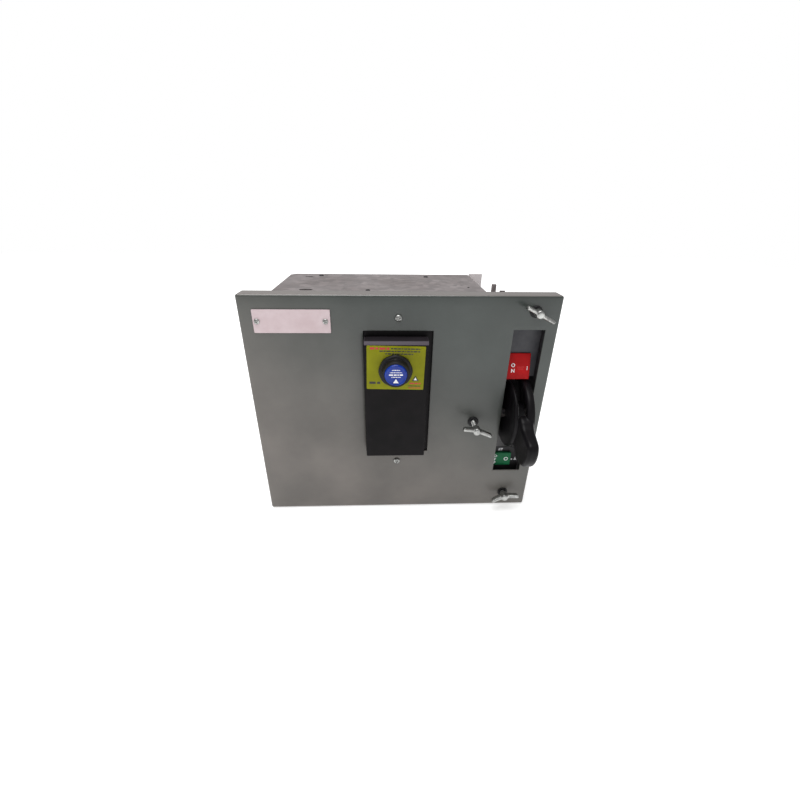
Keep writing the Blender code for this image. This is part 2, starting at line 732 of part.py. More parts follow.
def disconnect(m):
    """Moulded base with line jaws, load terminals, the crossbar, its crank and three blades."""
    g = GAP
    poles = [POLE_MID_X + (n - 1) * POLE_PITCH for n in range(3)]
    x0 = poles[0] - 32.0
    x1 = poles[2] + 32.0
    y0 = BASE_Y
    centre = (0, CROSSBAR_Y, CROSSBAR_Z)
    base = box("switch_base", (x0, y0, 60), (x1, y0 + BASE_T, 250), m["brown"])
    adds = [
        box("join_cheek_l", (x0, CROSSBAR_Y - 16, 92), (x0 + 6, y0 + 1, 130)),
        box("join_cheek_r", (x1 - 6, CROSSBAR_Y - 16, 92), (x1, y0 + 1, 130)),
    ]
    for n, x in enumerate((poles[0] + POLE_PITCH / 2, poles[1] + POLE_PITCH / 2)):
        adds.append(box(f"join_barrier_{n}", (x - 1.5, 92, 150), (x + 1.5, y0 + 1, 249)))
    for n, (x, z) in enumerate(
        ((x0 + 12, 72), (x1 - 12, 72), (x0 + 12, 238), (x1 - 12, 238))
    ):
        adds.append(
            rod(f"join_foot_{n}", (x, 0, z), "Y", y0 + BASE_T - 1,
                PAN_Y1 - BACK_SET - g, 7.0, sides=20)
        )
    unite(base, *adds)
    carve(base, rod("cut_journal", centre, "X", x0 - 5, x1 + 5, BAR_R - 2 + RUN))
    pivot = at(POLE_MID_X, CROSSBAR_Y, CROSSBAR_Z)
    journal = BAR_R - 2
    bar = turned(
        "crossbar",
        centre,
        "X",
        [
            (0, x0 - 1), (journal, x0 - 1), (journal, x0 + 6.5), (BAR_R, x0 + 6.5),
            (BAR_R, x1 - 6.5), (journal, x1 - 6.5), (journal, x1 + 1), (0, x1 + 1),
        ],
        m["brown"],
        pivot,
    )
    carve(bar, rod("cut_bar_socket", centre, "X", x1 - 22, x1 + 8, SHAFT_R - 1 + g, sides=24))
    dy, dz = crank_point(CRANK_OFF_DEG)
    arm_x = PAN_X1 + 15.0
    crank = rod("crossbar_crank", centre, "X", x1 - 20, PAN_X1 + 1.5, SHAFT_R - 1, m["steel"], pivot,
                sides=24)
    unite(
        crank,
        rod("join_crank_journal", centre, "X", x1 + 2, arm_x + 5, SHAFT_R),
        extruded(
            "join_crossbar_crank",
            capsule(CROSSBAR_Y, CROSSBAR_Z, 11.0, CROSSBAR_Y + dy, CROSSBAR_Z + dz, 7.0),
            "X", arm_x, arm_x + 6,
        ),
        rod("join_crank_pin", (0, CROSSBAR_Y + dy, CROSSBAR_Z + dz), "X", arm_x - 9, arm_x + 1,
            PIN_R, sides=24),
    )
    for n, x in enumerate(poles):
        blade(m, n, x, pivot)
        line = box(
            f"line_jaw_{n + 1}", (x - 8, y0 - g - 4, 146), (x + 8, y0 - g, 232), m["copper"]
        )
        load = box(
            f"load_terminal_{n + 1}", (x - 8, y0 - g - 4, 62), (x + 8, y0 - g, 99), m["copper"]
        )
        side = BLADE_T / 2 + 0.25
        leaves = []
        for s, sign in enumerate((-1, 1)):
            near = min(sign * side, sign * (side + 2))
            far = max(sign * side, sign * (side + 2))
            leaves.append(
                box(f"join_jaw_{n}{s}", (x + near, CROSSBAR_Y - 8, 146), (x + far, y0 - g - 1, 166))
            )
            leaves.append(
                box(f"join_clip_{n}{s}", (x + near, CROSSBAR_Y - 8, 78), (x + far, y0 - g - 1, 99.3))
            )
        line_lug = box(
            f"join_line_lug_{n}", (x - 7.5, y0 - 22, 206), (x + 7.5, y0 - g - 1, 226),
            bevel=1.0, segments=1,
        )
        load_lug = box(
            f"join_load_lug_{n}", (x - 7.5, y0 - 22, 56), (x + 7.5, y0 - g - 1, 74),
            bevel=1.0, segments=1,
        )
        unite(line, leaves[0], leaves[2], line_lug)
        unite(load, leaves[1], leaves[3], load_lug)
        carve(line, rod(f"cut_line_{n}", (x, y0 - 13, 216), "Z", -20, 20, 5.0, sides=20))
        carve(load, rod(f"cut_load_{n}", (x, y0 - 13, 65), "Z", -20, 12, 5.0, sides=20))


def blade(m, n, x, pivot):
    """Knife blade clamped round the crossbar, standing 60 degrees forward of its closed place."""
    a = math.radians(150.0)
    along = (math.cos(a), math.sin(a))
    across = (-along[1], along[0])
    outline = []
    half = BLADE_W / 2.0
    for reach, side in (
        (8, half), (BLADE_L - 3, half), (BLADE_L, half - 4), (BLADE_L, 4 - half),
        (BLADE_L - 3, -half), (8, -half),
    ):
        outline.append(
            (
                CROSSBAR_Y + along[0] * reach + across[0] * side,
                CROSSBAR_Z + along[1] * reach + across[1] * side,
            )
        )
    arm = extruded(
        f"moving_blade_{n + 1}", outline, "X", x - BLADE_T / 2, x + BLADE_T / 2, m["copper"], pivot
    )
    eye = rod(
        f"join_eye_{n}", (x, CROSSBAR_Y, CROSSBAR_Z), "X", -BLADE_T / 2, BLADE_T / 2, BAR_R + 5.0
    )
    unite(arm, eye)
    carve(
        arm,
        rod(f"cut_eye_{n}", (x, CROSSBAR_Y, CROSSBAR_Z), "X", -9, 9, BAR_R + GAP),
    )


def pilot_device(m, hinge):
    """Black housing through the door with its label, ring, lens button, spring and contact block."""
    g = GAP
    x0 = HOUSING_X - HOUSING_W / 2
    x1 = HOUSING_X + HOUSING_W / 2
    z0 = HOUSING_Z0
    z1 = HOUSING_Z0 + HOUSING_H
    out = -HOUSING_OUT
    shell = extruded(
        "device_housing",
        [(out, z0), (out, z1 - 4), (out + 4, z1), (4.7, z1), (4.7, z0)],
        "X", x0, x1, m["satin_black"], hinge, bevel=1.0, segments=1,
    )
    flange = box("join_housing_flange", (x0 - 10, SHEET + g, z0 - 32), (x1 + 15, SHEET + g + 3, z1 + 34))
    unite(shell, flange)
    cuts = [
        box("cut_housing_inside", (x0 + 2.5, out + 2.5, z0 + 2.5), (x1 - 2.5, 12, z1 - 6)),
        rod("cut_housing_hole", (BUTTON_X, 0, BUTTON_Z), "Y", out - 5, out + 6, BORE_R + 1.8),
    ]
    for n, (x, z) in enumerate(housing_holes()):
        cuts.append(rod(f"cut_flange_{n}", (x, 0, z), "Y", 1, 9, 2.5, sides=16))
        turned(
            f"housing_screw_{n + 1}",
            (x, 0, z),
            "Y",
            [
                (0, -3.6), (2.2, -3.4), (3.8, -2.4), (4.4, -g), (2.0, -g), (2.0, 9.0), (0, 9.0),
            ],
            m["zinc"],
            hinge,
            sides=20,
        )
    carve(shell, *cuts)
    label = box(
        "warning_label", (x0 + 3.0, out - g - 0.5, z1 - 61.5), (x1 - 4.5, out - g, z1 - 4.6), m["label"],
        hinge,
    )
    carve(label, rod("cut_label", (BUTTON_X, 0, BUTTON_Z), "Y", out - 5, out + 6, BORE_R + 1.8))
    front = out - 2 * g - 0.5
    turned(
        "bezel_ring",
        (BUTTON_X, 0, BUTTON_Z),
        "Y",
        [
            (BORE_R, front - 14.6), (16.0, front - 14.6), (16.4, front - 4.6), (RING_R - 1, front - 4.6),
            (RING_R, front - 3.6), (RING_R, front), (BORE_R + 1.5, front), (BORE_R + 1.5, -5.0),
            (4.6, -5.0), (4.6, -7.0), (BORE_R, -7.0),
        ],
        m["satin_black"],
        hinge,
        sides=40,
    )
    button = at(BUTTON_X, -24.0, BUTTON_Z)
    turned(
        "push_button",
        (BUTTON_X, 0, BUTTON_Z),
        "Y",
        [
            (0, -37.8), (BUTTON_R - 1.6, -37.4), (BUTTON_R - 0.2, -36.0), (BUTTON_R, -35.0),
            (BUTTON_R, -23.0), (4.0, -23.0), (4.0, 4.0), (0, 4.0),
        ],
        m["blue"],
        button,
        sides=40,
    )
    spring(m, button)
    block = box(
        "contact_block", (BUTTON_X - 21, -4.7, BUTTON_Z - 22), (BUTTON_X + 21, 38, BUTTON_Z + 22),
        m["satin_black"], hinge, bevel=1.0, segments=1,
    )
    carve(block, rod("cut_plunger", (BUTTON_X, 0, BUTTON_Z), "Y", -10, 10, 5.0, sides=24))


def spring(m, pivot):
    """Return coil between the bezel's floor and the button: a wire circle carried along a helix."""
    radius = 8.0
    wire = 0.55
    low = -7.4 - wire
    high = -22.6 + wire
    turns = 5.0
    around = 14
    steps = int(turns * around)
    sides = 6
    bm = bmesh.new()
    loops = []
    for k in range(steps + 1):
        a = 2.0 * math.pi * k / around
        t = k / steps
        hub = Vector(
            (BUTTON_X + radius * math.cos(a), low + (high - low) * t, BUTTON_Z + radius * math.sin(a))
        )
        out = Vector((math.cos(a), 0, math.sin(a)))
        loops.append(
            [
                bm.verts.new(
                    at(
                        *(
                            hub
                            + out * wire * math.cos(2 * math.pi * i / sides)
                            + Vector((0, 1, 0)) * wire * math.sin(2 * math.pi * i / sides)
                        )
                    )
                )
                for i in range(sides)
            ]
        )
    for first, second in zip(loops, loops[1:]):
        for i in range(sides):
            j = (i + 1) % sides
            bm.faces.new((first[i], first[j], second[j], second[i]))
    bm.faces.new(loops[0])
    bm.faces.new(loops[-1])
    make("button_spring", bm, m["zinc"], pivot)


def nameplate(m, hinge):
    g = GAP
    z = DOOR_H - 31.5
    plate = box("nameplate", (17, -g - 1.5, z - 14.3), (109, -g, z + 14.3), m["plate"], hinge)
    cuts = []
    for n, (x, hz) in enumerate(nameplate_holes()):
        cuts.append(rod(f"cut_plate_{n}", (x, 0, hz), "Y", -9, 9, 1.9, sides=16))
        turned(
            f"nameplate_screw_{n + 1}",
            (x, 0, hz),
            "Y",
            [
                (0, -4.0), (2.0, -3.8), (3.1, -2.9), (3.3, -2 * g - 1.5), (1.5, -2 * g - 1.5),
                (1.5, 6.0), (0, 6.0),
            ],
            m["zinc"],
            hinge,
            sides=16,
        )
    carve(plate, *cuts)


def wing_screws(m, hinge):
    """Three captive wing screws with a grommet in the door and a retaining ring behind it."""
    tilts = (-27.0, -16.0, 13.0)
    fronts = (-17.0, -29.7, -17.0)
    for n, place in enumerate(("top", "middle", "bottom")):
        x, z = wing_places()[n]
        front = fronts[n]
        centre = (x, 0, z)
        turned(
            f"door_grommet_{place}",
            centre,
            "Y",
            [(3.7, -2.0), (7.0, -2.0), (7.5, -1.5), (7.5, -GAP), (4.7, -GAP), (4.7, 1.8), (3.7, 1.8)],
            m["satin_black"],
            hinge,
            sides=24,
        )
        axis = at(x, front, z)
        body = turned(
            f"wing_screw_{place}",
            centre,
            "Y",
            [
                (0, front), (WING_HUB_R - 1, front), (WING_HUB_R, front + 1),
                (WING_HUB_R, front + WING_HUB_L - 2), (WING_HUB_R - 1.2, front + WING_HUB_L),
                (SHANK_R, front + WING_HUB_L), (SHANK_R, front + SCREW_L - 1),
                (SHANK_R - 1, front + SCREW_L), (0, front + SCREW_L),
            ],
            m["zinc"],
            axis,
            sides=28,
        )
        wings = []
        for side, turn in enumerate((tilts[n], tilts[n] + 180.0)):
            outline = [
                (2.5, front + 10), (2.5, front + 3), (11, front - 0.5), (18, front - 2.0),
                (WING_R - 0.7, front - 0.8), (WING_R, front + 1.4), (WING_R - 1.2, front + 3.6),
                (11, front + 7.0),
            ]
            bm = bmesh.new()
            verts = [bm.verts.new(Vector((r, y, -1.5)) * MM) for r, y in outline]
            face = bm.faces.new(verts)
            grown = bmesh.ops.extrude_face_region(bm, geom=[face])
            moved = [q for q in grown["geom"] if isinstance(q, bmesh.types.BMVert)]
            bmesh.ops.translate(bm, verts=moved, vec=Vector((0, 0, 3.0 * MM)))
            bmesh.ops.bevel(
                bm, geom=bm.edges[:], offset=0.6 * MM, segments=1, profile=0.5, affect="EDGES"
            )
            spin = Matrix.Rotation(math.radians(-turn), 4, "Y")
            bm.transform(Matrix.Translation(at(x, 0, z)) @ spin)
            wings.append(make(f"join_wing_{place}_{side}", bm))
        unite(body, *wings)
        ring(
            f"retaining_ring_{place}", centre, "Y", front + RETAINER_AT, front + RETAINER_AT + 1.5,
            SHANK_R + 0.125, 6.5, m["steel"], axis, sides=24,
        )


def build():
    clear_scene()
    m = finishes()
    hinge = door(m)
    door_hinges(m, hinge)
    pan(m)
    stab_plug(m)
    mechanism(m)
    handle(m)
    disconnect(m)
    pilot_device(m, hinge)
    nameplate(m, hinge)
    wing_screws(m, hinge)


build()
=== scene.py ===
"""Looks of a flange-handled transfer switch unit: an enamelled door, its black loop handle, wing
screws, a pilot device and the galvanised pan behind. Sizes are in millimetres from the door's lower
left front corner (x across, y back from the door's face, z up) until place() moves them to the
shared frame."""

import math

import bmesh
import bpy
import numpy as np
from mathutils import Matrix, Vector


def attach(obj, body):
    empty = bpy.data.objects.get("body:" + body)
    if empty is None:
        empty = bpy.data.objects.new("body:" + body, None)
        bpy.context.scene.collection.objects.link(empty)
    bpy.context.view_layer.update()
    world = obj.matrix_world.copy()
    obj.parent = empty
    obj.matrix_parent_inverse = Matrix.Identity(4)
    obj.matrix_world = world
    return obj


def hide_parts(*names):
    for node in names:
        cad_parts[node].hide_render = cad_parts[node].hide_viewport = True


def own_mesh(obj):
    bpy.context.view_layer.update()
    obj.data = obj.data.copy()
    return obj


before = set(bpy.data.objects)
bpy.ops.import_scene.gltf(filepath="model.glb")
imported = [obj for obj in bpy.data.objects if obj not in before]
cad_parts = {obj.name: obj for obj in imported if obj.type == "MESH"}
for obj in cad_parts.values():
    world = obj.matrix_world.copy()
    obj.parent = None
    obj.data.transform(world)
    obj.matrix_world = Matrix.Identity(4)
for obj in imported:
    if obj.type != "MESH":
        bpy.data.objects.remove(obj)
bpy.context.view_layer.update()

bl_info = {
    "name": "Transfer switch unit looks",
    "version": (1, 0, 0),
    "blender": (4, 5, 0),
    "location": "View3D > Sidebar > Switch unit",
    "description": "Builds the visible surfaces, finishes and studio of a transfer switch unit",
    "category": "Object",
}

TO_FRAME = np.array([-195.0, -97.5, 1.0])
MM = 0.001
DOOR_W, DOOR_H, FOLD_DEPTH = 390.0, 323.0, 22.0
# Openings in the door's face: x from, x to, z from, z to
DEVICE_HOLE = (147.2, 234.2, 101.5, 279.8)
HANDLE_SLOT = (334.0, 374.0, 65.0, 281.0)
# Heights between which the left fold is cut away round a hinge
HINGE_NOTCHES = ((36.0, 84.0), (239.0, 287.0))
BUTTON = (187.0, 0.0, 236.0)
HANDLE_AXIS = (355.0, 16.0, 155.0)
LABEL_FACE = -20.8
PAN_LEFT = 26.0
PAN_TOP = 314.5
BARRIER_BACK = 190.6
LETTER_HEIGHT = 0.12
INK_HEIGHT = 0.08
# Wing screws: x, z, the head's front, and the wings' tilt in degrees
SCREWS = {
    "top": (358.0, 304.0, -17.0, -27.0),
    "middle": (296.0, 150.0, -29.7, -16.0),
    "bottom": (354.0, 25.0, -17.0, 13.0),
}


# ---------------------------------------------------------------- numpy surfaces


def place(points):
    """Millimetres from the door's corner to metres in the shared frame: add the offset, then divide
    by 1000."""
    return (np.asarray(points, float) + TO_FRAME) * MM


def grid(points, wrap=False):
    """Quads over an (n, m, 3) array of points: each cell joins a point to its next along u, along
    both and along v. Wrapping joins the last column to the first as well."""
    n, m = points.shape[:2]
    index = np.arange(n * m).reshape(n, m)
    if wrap:
        index = np.concatenate([index, index[:, :1]], axis=1)
    quads = np.stack([index[:-1, :-1], index[1:, :-1], index[1:, 1:], index[:-1, 1:]], axis=-1)
    return points.reshape(-1, 3), quads.reshape(-1, 4)


def joined(parts):
    """Several (points, quads) as one, each part's indices moved past the points before it."""
    points = []
    faces = []
    start = 0
    for p, f in parts:
        points.append(p)
        faces.append(f + start)
        start += len(p)
    return np.concatenate(points), np.concatenate(faces)


def turned(centre, axis, profile, sides=48, ripple=None):
    """Surface of revolution: each (radius, along) point of the profile becomes a circle about the
    axis through centre. ripple(angle, row) scales the radius. A radius of 0 closes the surface at a
    pole."""
    profile = np.asarray(profile, float)
    a = np.linspace(0.0, 2.0 * np.pi, sides, endpoint=False)
    rows = np.arange(len(profile))
    r = profile[:, 0][:, None] * np.ones_like(a)[None, :]
    if ripple is not None:
        r = r * ripple(a[None, :], rows[:, None])
    along = profile[:, 1][:, None] * np.ones_like(a)[None, :]
    u = r * np.cos(a)[None, :]
    v = r * np.sin(a)[None, :]
    order = {"X": (along, u, v), "Y": (u, along, v), "Z": (u, v, along)}[axis]
    return grid(np.stack(order, axis=-1) + np.asarray(centre, float), wrap=True)


def unit(vectors):
    """Each row divided by its own length."""
    return vectors / np.maximum(np.linalg.norm(vectors, axis=1, keepdims=True), 1e-9)


def rounded(outline, radius, steps):
    """Profile with its inner corners rounded: each corner is replaced by a quadratic curve between
    the points a radius away along its two sides, or 0.45 of a side if that is shorter."""
    pts = np.asarray(outline, float)
    corner = pts[1:-1]
    one = pts[:-2] - corner
    two = pts[2:] - corner
    shorter = np.minimum(np.linalg.norm(one, axis=1), np.linalg.norm(two, axis=1))
    reach = np.minimum(radius, 0.45 * shorter)[:, None]
    start = (corner + unit(one) * reach)[:, None]
    end = (corner + unit(two) * reach)[:, None]
    t = np.linspace(0.0, 1.0, steps + 1)[None, :, None]
    curves = (1 - t) ** 2 * start + 2 * t * (1 - t) * corner[:, None] + t**2 * end
    return np.concatenate([pts[:1], curves.reshape(-1, 2), pts[-1:]])


def smooth_loop(outline):
    """Closed outline with its corners cut twice by Chaikin's rule: each side gives a point at a
    quarter and one at three quarters of its length."""
    pts = np.asarray(outline, float)
    for _ in range(2):
        after = np.roll(pts, -1, axis=0)
        cuts = np.stack([0.75 * pts + 0.25 * after, 0.25 * pts + 0.75 * after], axis=1)
        pts = cuts.reshape(-1, 2)
    return pts


def inset(outline, amount):
    """Closed outline moved inwards by amount along the mean of its two sides' normals."""
    pts = np.asarray(outline, float)
    ahead = unit(np.roll(pts, -1, axis=0) - pts)
    behind = unit(pts - np.roll(pts, 1, axis=0))
    normal = unit(np.stack([-(ahead + behind)[:, 1], (ahead + behind)[:, 0]], axis=1))
    area = np.sum(pts[:, 0] * np.roll(pts[:, 1], -1) - np.roll(pts[:, 0], -1) * pts[:, 1])
    return pts + normal * amount * np.sign(area)


def slab(outline, axis, low, high, edge, steps):
    """Flat piece with rounded rims: the outline is carried along the axis, pulled in by
    edge * (1 - sin a) while it moves edge * cos a from each face, and each face closes on the
    outline's middle through a ring at 0.55 of the way out."""
    pts = np.asarray(outline, float)
    middle = pts.mean(axis=0)
    a = np.linspace(0.0, np.pi / 2.0, steps + 1)
    pull = edge * (1 - np.sin(a))
    rise = edge * (1 - np.cos(a))
    point = np.tile(middle, (len(pts), 1))
    ring = middle + (inset(pts, edge) - middle) * 0.55
    rims = [inset(pts, k) for k in pull]
    outlines = [point, ring, *rims, *rims[::-1], ring, point]
    levels = [low, low, *(low + rise), *(high - rise[::-1]), high, high]
    cube = np.stack([np.column_stack([o, np.full(len(pts), k)]) for o, k in zip(outlines, levels)])
    order = {"X": (2, 0, 1), "Y": (0, 2, 1)}[axis]
    return grid(cube[:, :, order], wrap=True)


def rectangle(x0, z0, x1, z1, corner):
    """Closed outline of a rectangle whose corners are quarter circles."""
    a = np.linspace(0.0, np.pi / 2.0, 4)
    out = []
    for cx, cz, turn in (
        (x1 - corner, z1 - corner, 0.0),
        (x0 + corner, z1 - corner, 0.5),
        (x0 + corner, z0 + corner, 1.0),
        (x1 - corner, z0 + corner, 1.5),
    ):
        b = a + turn * np.pi
        out.append(np.column_stack([cx + corner * np.cos(b), cz + corner * np.sin(b)]))
    return np.concatenate(out)


def swept(path, across, up, half_widths, half_heights, power, sides):
    """Solid carried along a path: at each point the section is a superellipse, its radius along
    angle a being |cos a|^(2/p), |sin a|^(2/p) times the half width and half height there. Ends
    close at poles."""
    path = np.asarray(path, float)
    a = np.linspace(0.0, 2.0 * np.pi, sides, endpoint=False)
    cos = np.sign(np.cos(a)) * np.abs(np.cos(a)) ** (2.0 / power)
    sin = np.sign(np.sin(a)) * np.abs(np.sin(a)) ** (2.0 / power)
    w = np.asarray(half_widths, float)[:, None, None]
    h = np.asarray(half_heights, float)[:, None, None]
    across = np.broadcast_to(np.asarray(across, float), path.shape)
    up = np.broadcast_to(np.asarray(up, float), path.shape)
    body = (
        path[:, None, :]
        + across[:, None, :] * cos[None, :, None] * w
        + up[:, None, :] * sin[None, :, None] * h
    )
    first = np.tile(path[0], (1, sides, 1))
    last = np.tile(path[-1], (1, sides, 1))
    return grid(np.concatenate([first, body, last], axis=0), wrap=True)


def threaded(centre, low, high, radius, pitch, depth):
    """Screw thread about Y: the radius is the outside less a triangle wave of (distance / pitch -
    angle / full turn), fading out over the last pitch. Flat ends close at poles."""
    sides = 24
    rows_per_pitch = 8
    s = np.linspace(low, high, int((high - low) / pitch * rows_per_pitch) + 1)
    a = np.linspace(0.0, 2.0 * np.pi, sides, endpoint=False)
    phase = s[:, None] / pitch - a[None, :] / (2.0 * np.pi)
    wave = np.abs((phase % 1.0) * 2.0 - 1.0)
    fade = np.clip((high - s) / pitch, 0.0, 1.0)[:, None]
    r = radius - depth * wave - (1 - fade) * radius * 0.18
    along = np.broadcast_to(s[:, None], r.shape)
    body = np.stack([r * np.cos(a)[None, :], along, r * np.sin(a)[None, :]], axis=-1)
    first = np.broadcast_to([0.0, low, 0.0], (1, sides, 3))
    last = np.broadcast_to([0.0, high, 0.0], (1, sides, 3))
    return grid(np.concatenate([first, body, last], axis=0) + np.asarray(centre, float), wrap=True)


# ---------------------------------------------------------------- objects


def make(name, parts, key, body, replaces=(), crease=32.0):
    """One object from surfaces in millimetres: doubles merged, normals turned out, smooth below the
    crease angle, riding on its body and standing for the CAD nodes named. The key names its finish."""
    points, faces = joined(parts)
    mesh = bpy.data.meshes.new(name)
    mesh.from_pydata(place(points).tolist(), [], faces.tolist())
    bm = bmesh.new()
    bm.from_mesh(mesh)
    bmesh.ops.remove_doubles(bm, verts=bm.verts, dist=2e-6)
    bmesh.ops.dissolve_degenerate(bm, edges=bm.edges, dist=1e-7)
    bmesh.ops.recalc_face_normals(bm, faces=bm.faces)
    bm.to_mesh(mesh)
    bm.free()
    mesh.validate()
    mesh.shade_smooth()
    mesh.set_sharp_from_angle(angle=math.radians(crease))
    obj = bpy.data.objects.new(name, mesh)
    bpy.context.scene.collection.objects.link(obj)
    mesh.materials.append(material(key))
    if body is None:
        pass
    else:
        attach(obj, body)
    if replaces:
        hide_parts(*replaces)
    return obj


def modify(obj, kind, name, **settings):
    """Adds a modifier with its settings."""
    mod = obj.modifiers.new(name, kind)
    for key, value in settings.items():
        setattr(mod, key, value)


def evaluated_mesh(obj):
    """A new mesh of the object as its modifiers or its curve leave it."""
    bpy.context.view_layer.update()
    graph = bpy.context.evaluated_depsgraph_get()
    return bpy.data.meshes.new_from_object(obj.evaluated_get(graph), depsgraph=graph)


def applied(obj):
    """Bakes the object's modifiers into its mesh."""
    mesh = evaluated_mesh(obj)
    old = obj.data
    obj.modifiers.clear()
    obj.data = mesh
    bpy.data.meshes.remove(old)


def repaint(node, key):
    """Gives a carried-over node's mesh a finish."""
    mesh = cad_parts[node].data
    mesh.materials.clear()
    mesh.materials.append(material(key))
    return mesh


def lettering(text, size, x, y, z, bold=0.0, lean=0.0):
    """Raised letters facing the viewer, centred on (x, z): a text curve made a mesh, its own x and
    y carried to x and z, then leaned back about the x axis by lean."""
    curve = bpy.data.curves.new("letters", "FONT")
    curve.body = text
    curve.size = size
    curve.align_x = "CENTER"
    curve.align_y = "CENTER"
    curve.extrude = LETTER_HEIGHT
    curve.offset = bold
    curve.resolution_u = 3
    obj = bpy.data.objects.new("letters", curve)
    bpy.context.scene.collection.objects.link(obj)
    mesh = evaluated_mesh(obj)
    flat = np.zeros(len(mesh.vertices) * 3)
    mesh.vertices.foreach_get("co", flat)
    across, rise, out = flat.reshape(-1, 3).T
    points = np.column_stack([x + across, y - out + rise * math.tan(lean), z + rise])
    mesh.vertices.foreach_set("co", place(points).ravel())
    bpy.data.objects.remove(obj)
    bpy.data.curves.remove(curve)
    return mesh


def letters_object(name, letters, key, body):
    """Several letters' meshes as one object."""
    bm = bmesh.new()
    for letter in letters:
        bm.from_mesh(letter)
        bpy.data.meshes.remove(letter)
    bmesh.ops.remove_doubles(bm, verts=bm.verts, dist=1e-6)
    bmesh.ops.recalc_face_normals(bm, faces=bm.faces)
    mesh = bpy.data.meshes.new(name)
    bm.to_mesh(mesh)
    bm.free()
    mesh.shade_flat()
    mesh.materials.append(material(key))
    obj = bpy.data.objects.new(name, mesh)
    bpy.context.scene.collection.objects.link(obj)
    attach(obj, body)


def dashes(rows, y):
    """Printed lines that spell nothing: each (x0, x1, z, height, seed) row is cut into words whose
    lengths follow a fractional-part sequence, and each word is a closed thin box, printed on y."""
    golden = 0.618034
    boxes = []
    for x0, x1, z, height, seed in rows:
        x = x0
        k = seed
        while x < x1 - 0.5:
            k += 1
            length = height * (0.9 + 2.6 * ((k * golden) % 1.0))
            end = min(x + length, x1)
            boxes.append((x, end, z, height))
            x = end + height * 0.55
    front = np.array([[0.0, 0.0, 0.0], [1.0, 0.0, 0.0], [1.0, 0.0, 1.0], [0.0, 0.0, 1.0]])
    corners = np.concatenate([front, front + np.array([0.0, 1.0, 0.0])])
    quads = np.array(
        [[0, 1, 2, 3], [5, 4, 7, 6], [4, 0, 3, 7], [1, 5, 6, 2], [3, 2, 6, 7], [4, 5, 1, 0]]
    )
    parts = []
    for x0, x1, z, height in boxes:
        size = np.array([x1 - x0, INK_HEIGHT, height])
        parts.append((corners * size + np.array([x0, y - INK_HEIGHT, z - height / 2]), quads))
    return joined(parts)


# ---------------------------------------------------------------- finishes


def linear(hex_colour):
    """sRGB hex to linear RGBA."""
    out = []
    for i in (1, 3, 5):
        c = int(hex_colour[i:i + 2], 16) / 255.0
        out.append(c / 12.92 if c <= 0.04045 else ((c + 0.055) / 1.055) ** 2.4)
    return (*out, 1.0)


def add(tree, kind, links=(), into=(), **values):
    """Adds a node. values sets its properties, or an input by its name with _ for a space, or by
    its number, as _1. links are (input, other node, other node's output), and into are (output,
    other node, other node's input)."""
    node = tree.nodes.new(kind)
    for key, value in values.items():
        socket = key.replace("_", " ")
        if hasattr(node, key):
            setattr(node, key, value)
        elif socket in node.inputs:
            node.inputs[socket].default_value = value
        else:
            node.inputs[int(key[1:])].default_value = value
    for target, other, output in links:
        tree.links.new(other.outputs[output], node.inputs[target])
    for output, other, target in into:
        tree.links.new(node.outputs[output], other.inputs[target])
    return node


def finish(name, colour, roughness, metallic=0.0, gloss=0.5):
    """A Principled material with nothing linked yet: its tree, its shader and its coordinates. A
    pattern's Scale counts per metre, so 1000 is a pattern 1 mm across."""
    mat = bpy.data.materials.new(name)
    mat.use_nodes = True
    mat.diffuse_color = linear(colour)
    tree = mat.node_tree
    shader = tree.nodes["Principled BSDF"]
    shader.inputs["Base Color"].default_value = linear(colour)
    shader.inputs["Roughness"].default_value = roughness
    shader.inputs["Metallic"].default_value = metallic
    shader.inputs["Specular IOR Level"].default_value = gloss
    return mat, tree, shader, add(tree, "ShaderNodeTexCoord")


def drift(tree, coords, low, high, size_mm, detail=3.0, contrast=(0.35, 0.65)):
    """Two shades of one surface that run into each other over patches size_mm across: the noise and
    the coloured ramp on it."""
    noise = add(
        tree, "ShaderNodeTexNoise", [("Vector", coords, "Object")],
        Scale=1000.0 / size_mm, Detail=detail, Roughness=0.55,
    )
    ramp = add(tree, "ShaderNodeValToRGB", [("Fac", noise, "Fac")])
    for element, position, colour in zip(ramp.color_ramp.elements, contrast, (low, high)):
        element.position = position
        element.color = linear(colour)
    return noise, ramp


def gloss_and_grain(tree, shader, coords, gloss, low, high, scale, strength, height_mm):
    """Roughness that follows the pattern gloss, a (node, output) pair, between two values, and a
    fine raised grain. Real grain of this kind is 0.1 to 0.3 mm across, too fine to show from here,
    and is drawn about 1 mm across."""
    add(
        tree, "ShaderNodeMapRange", [("Value", *gloss)], [("Result", shader, "Roughness")],
        To_Min=low, To_Max=high,
    )
    grain = add(
        tree, "ShaderNodeTexNoise", [("Vector", coords, "Object")], Scale=scale, Detail=2.0
    )
    add(
        tree, "ShaderNodeBump", [("Height", grain, "Fac")], [("Normal", shader, "Normal")],
        Strength=strength, Distance=height_mm * MM,
    )


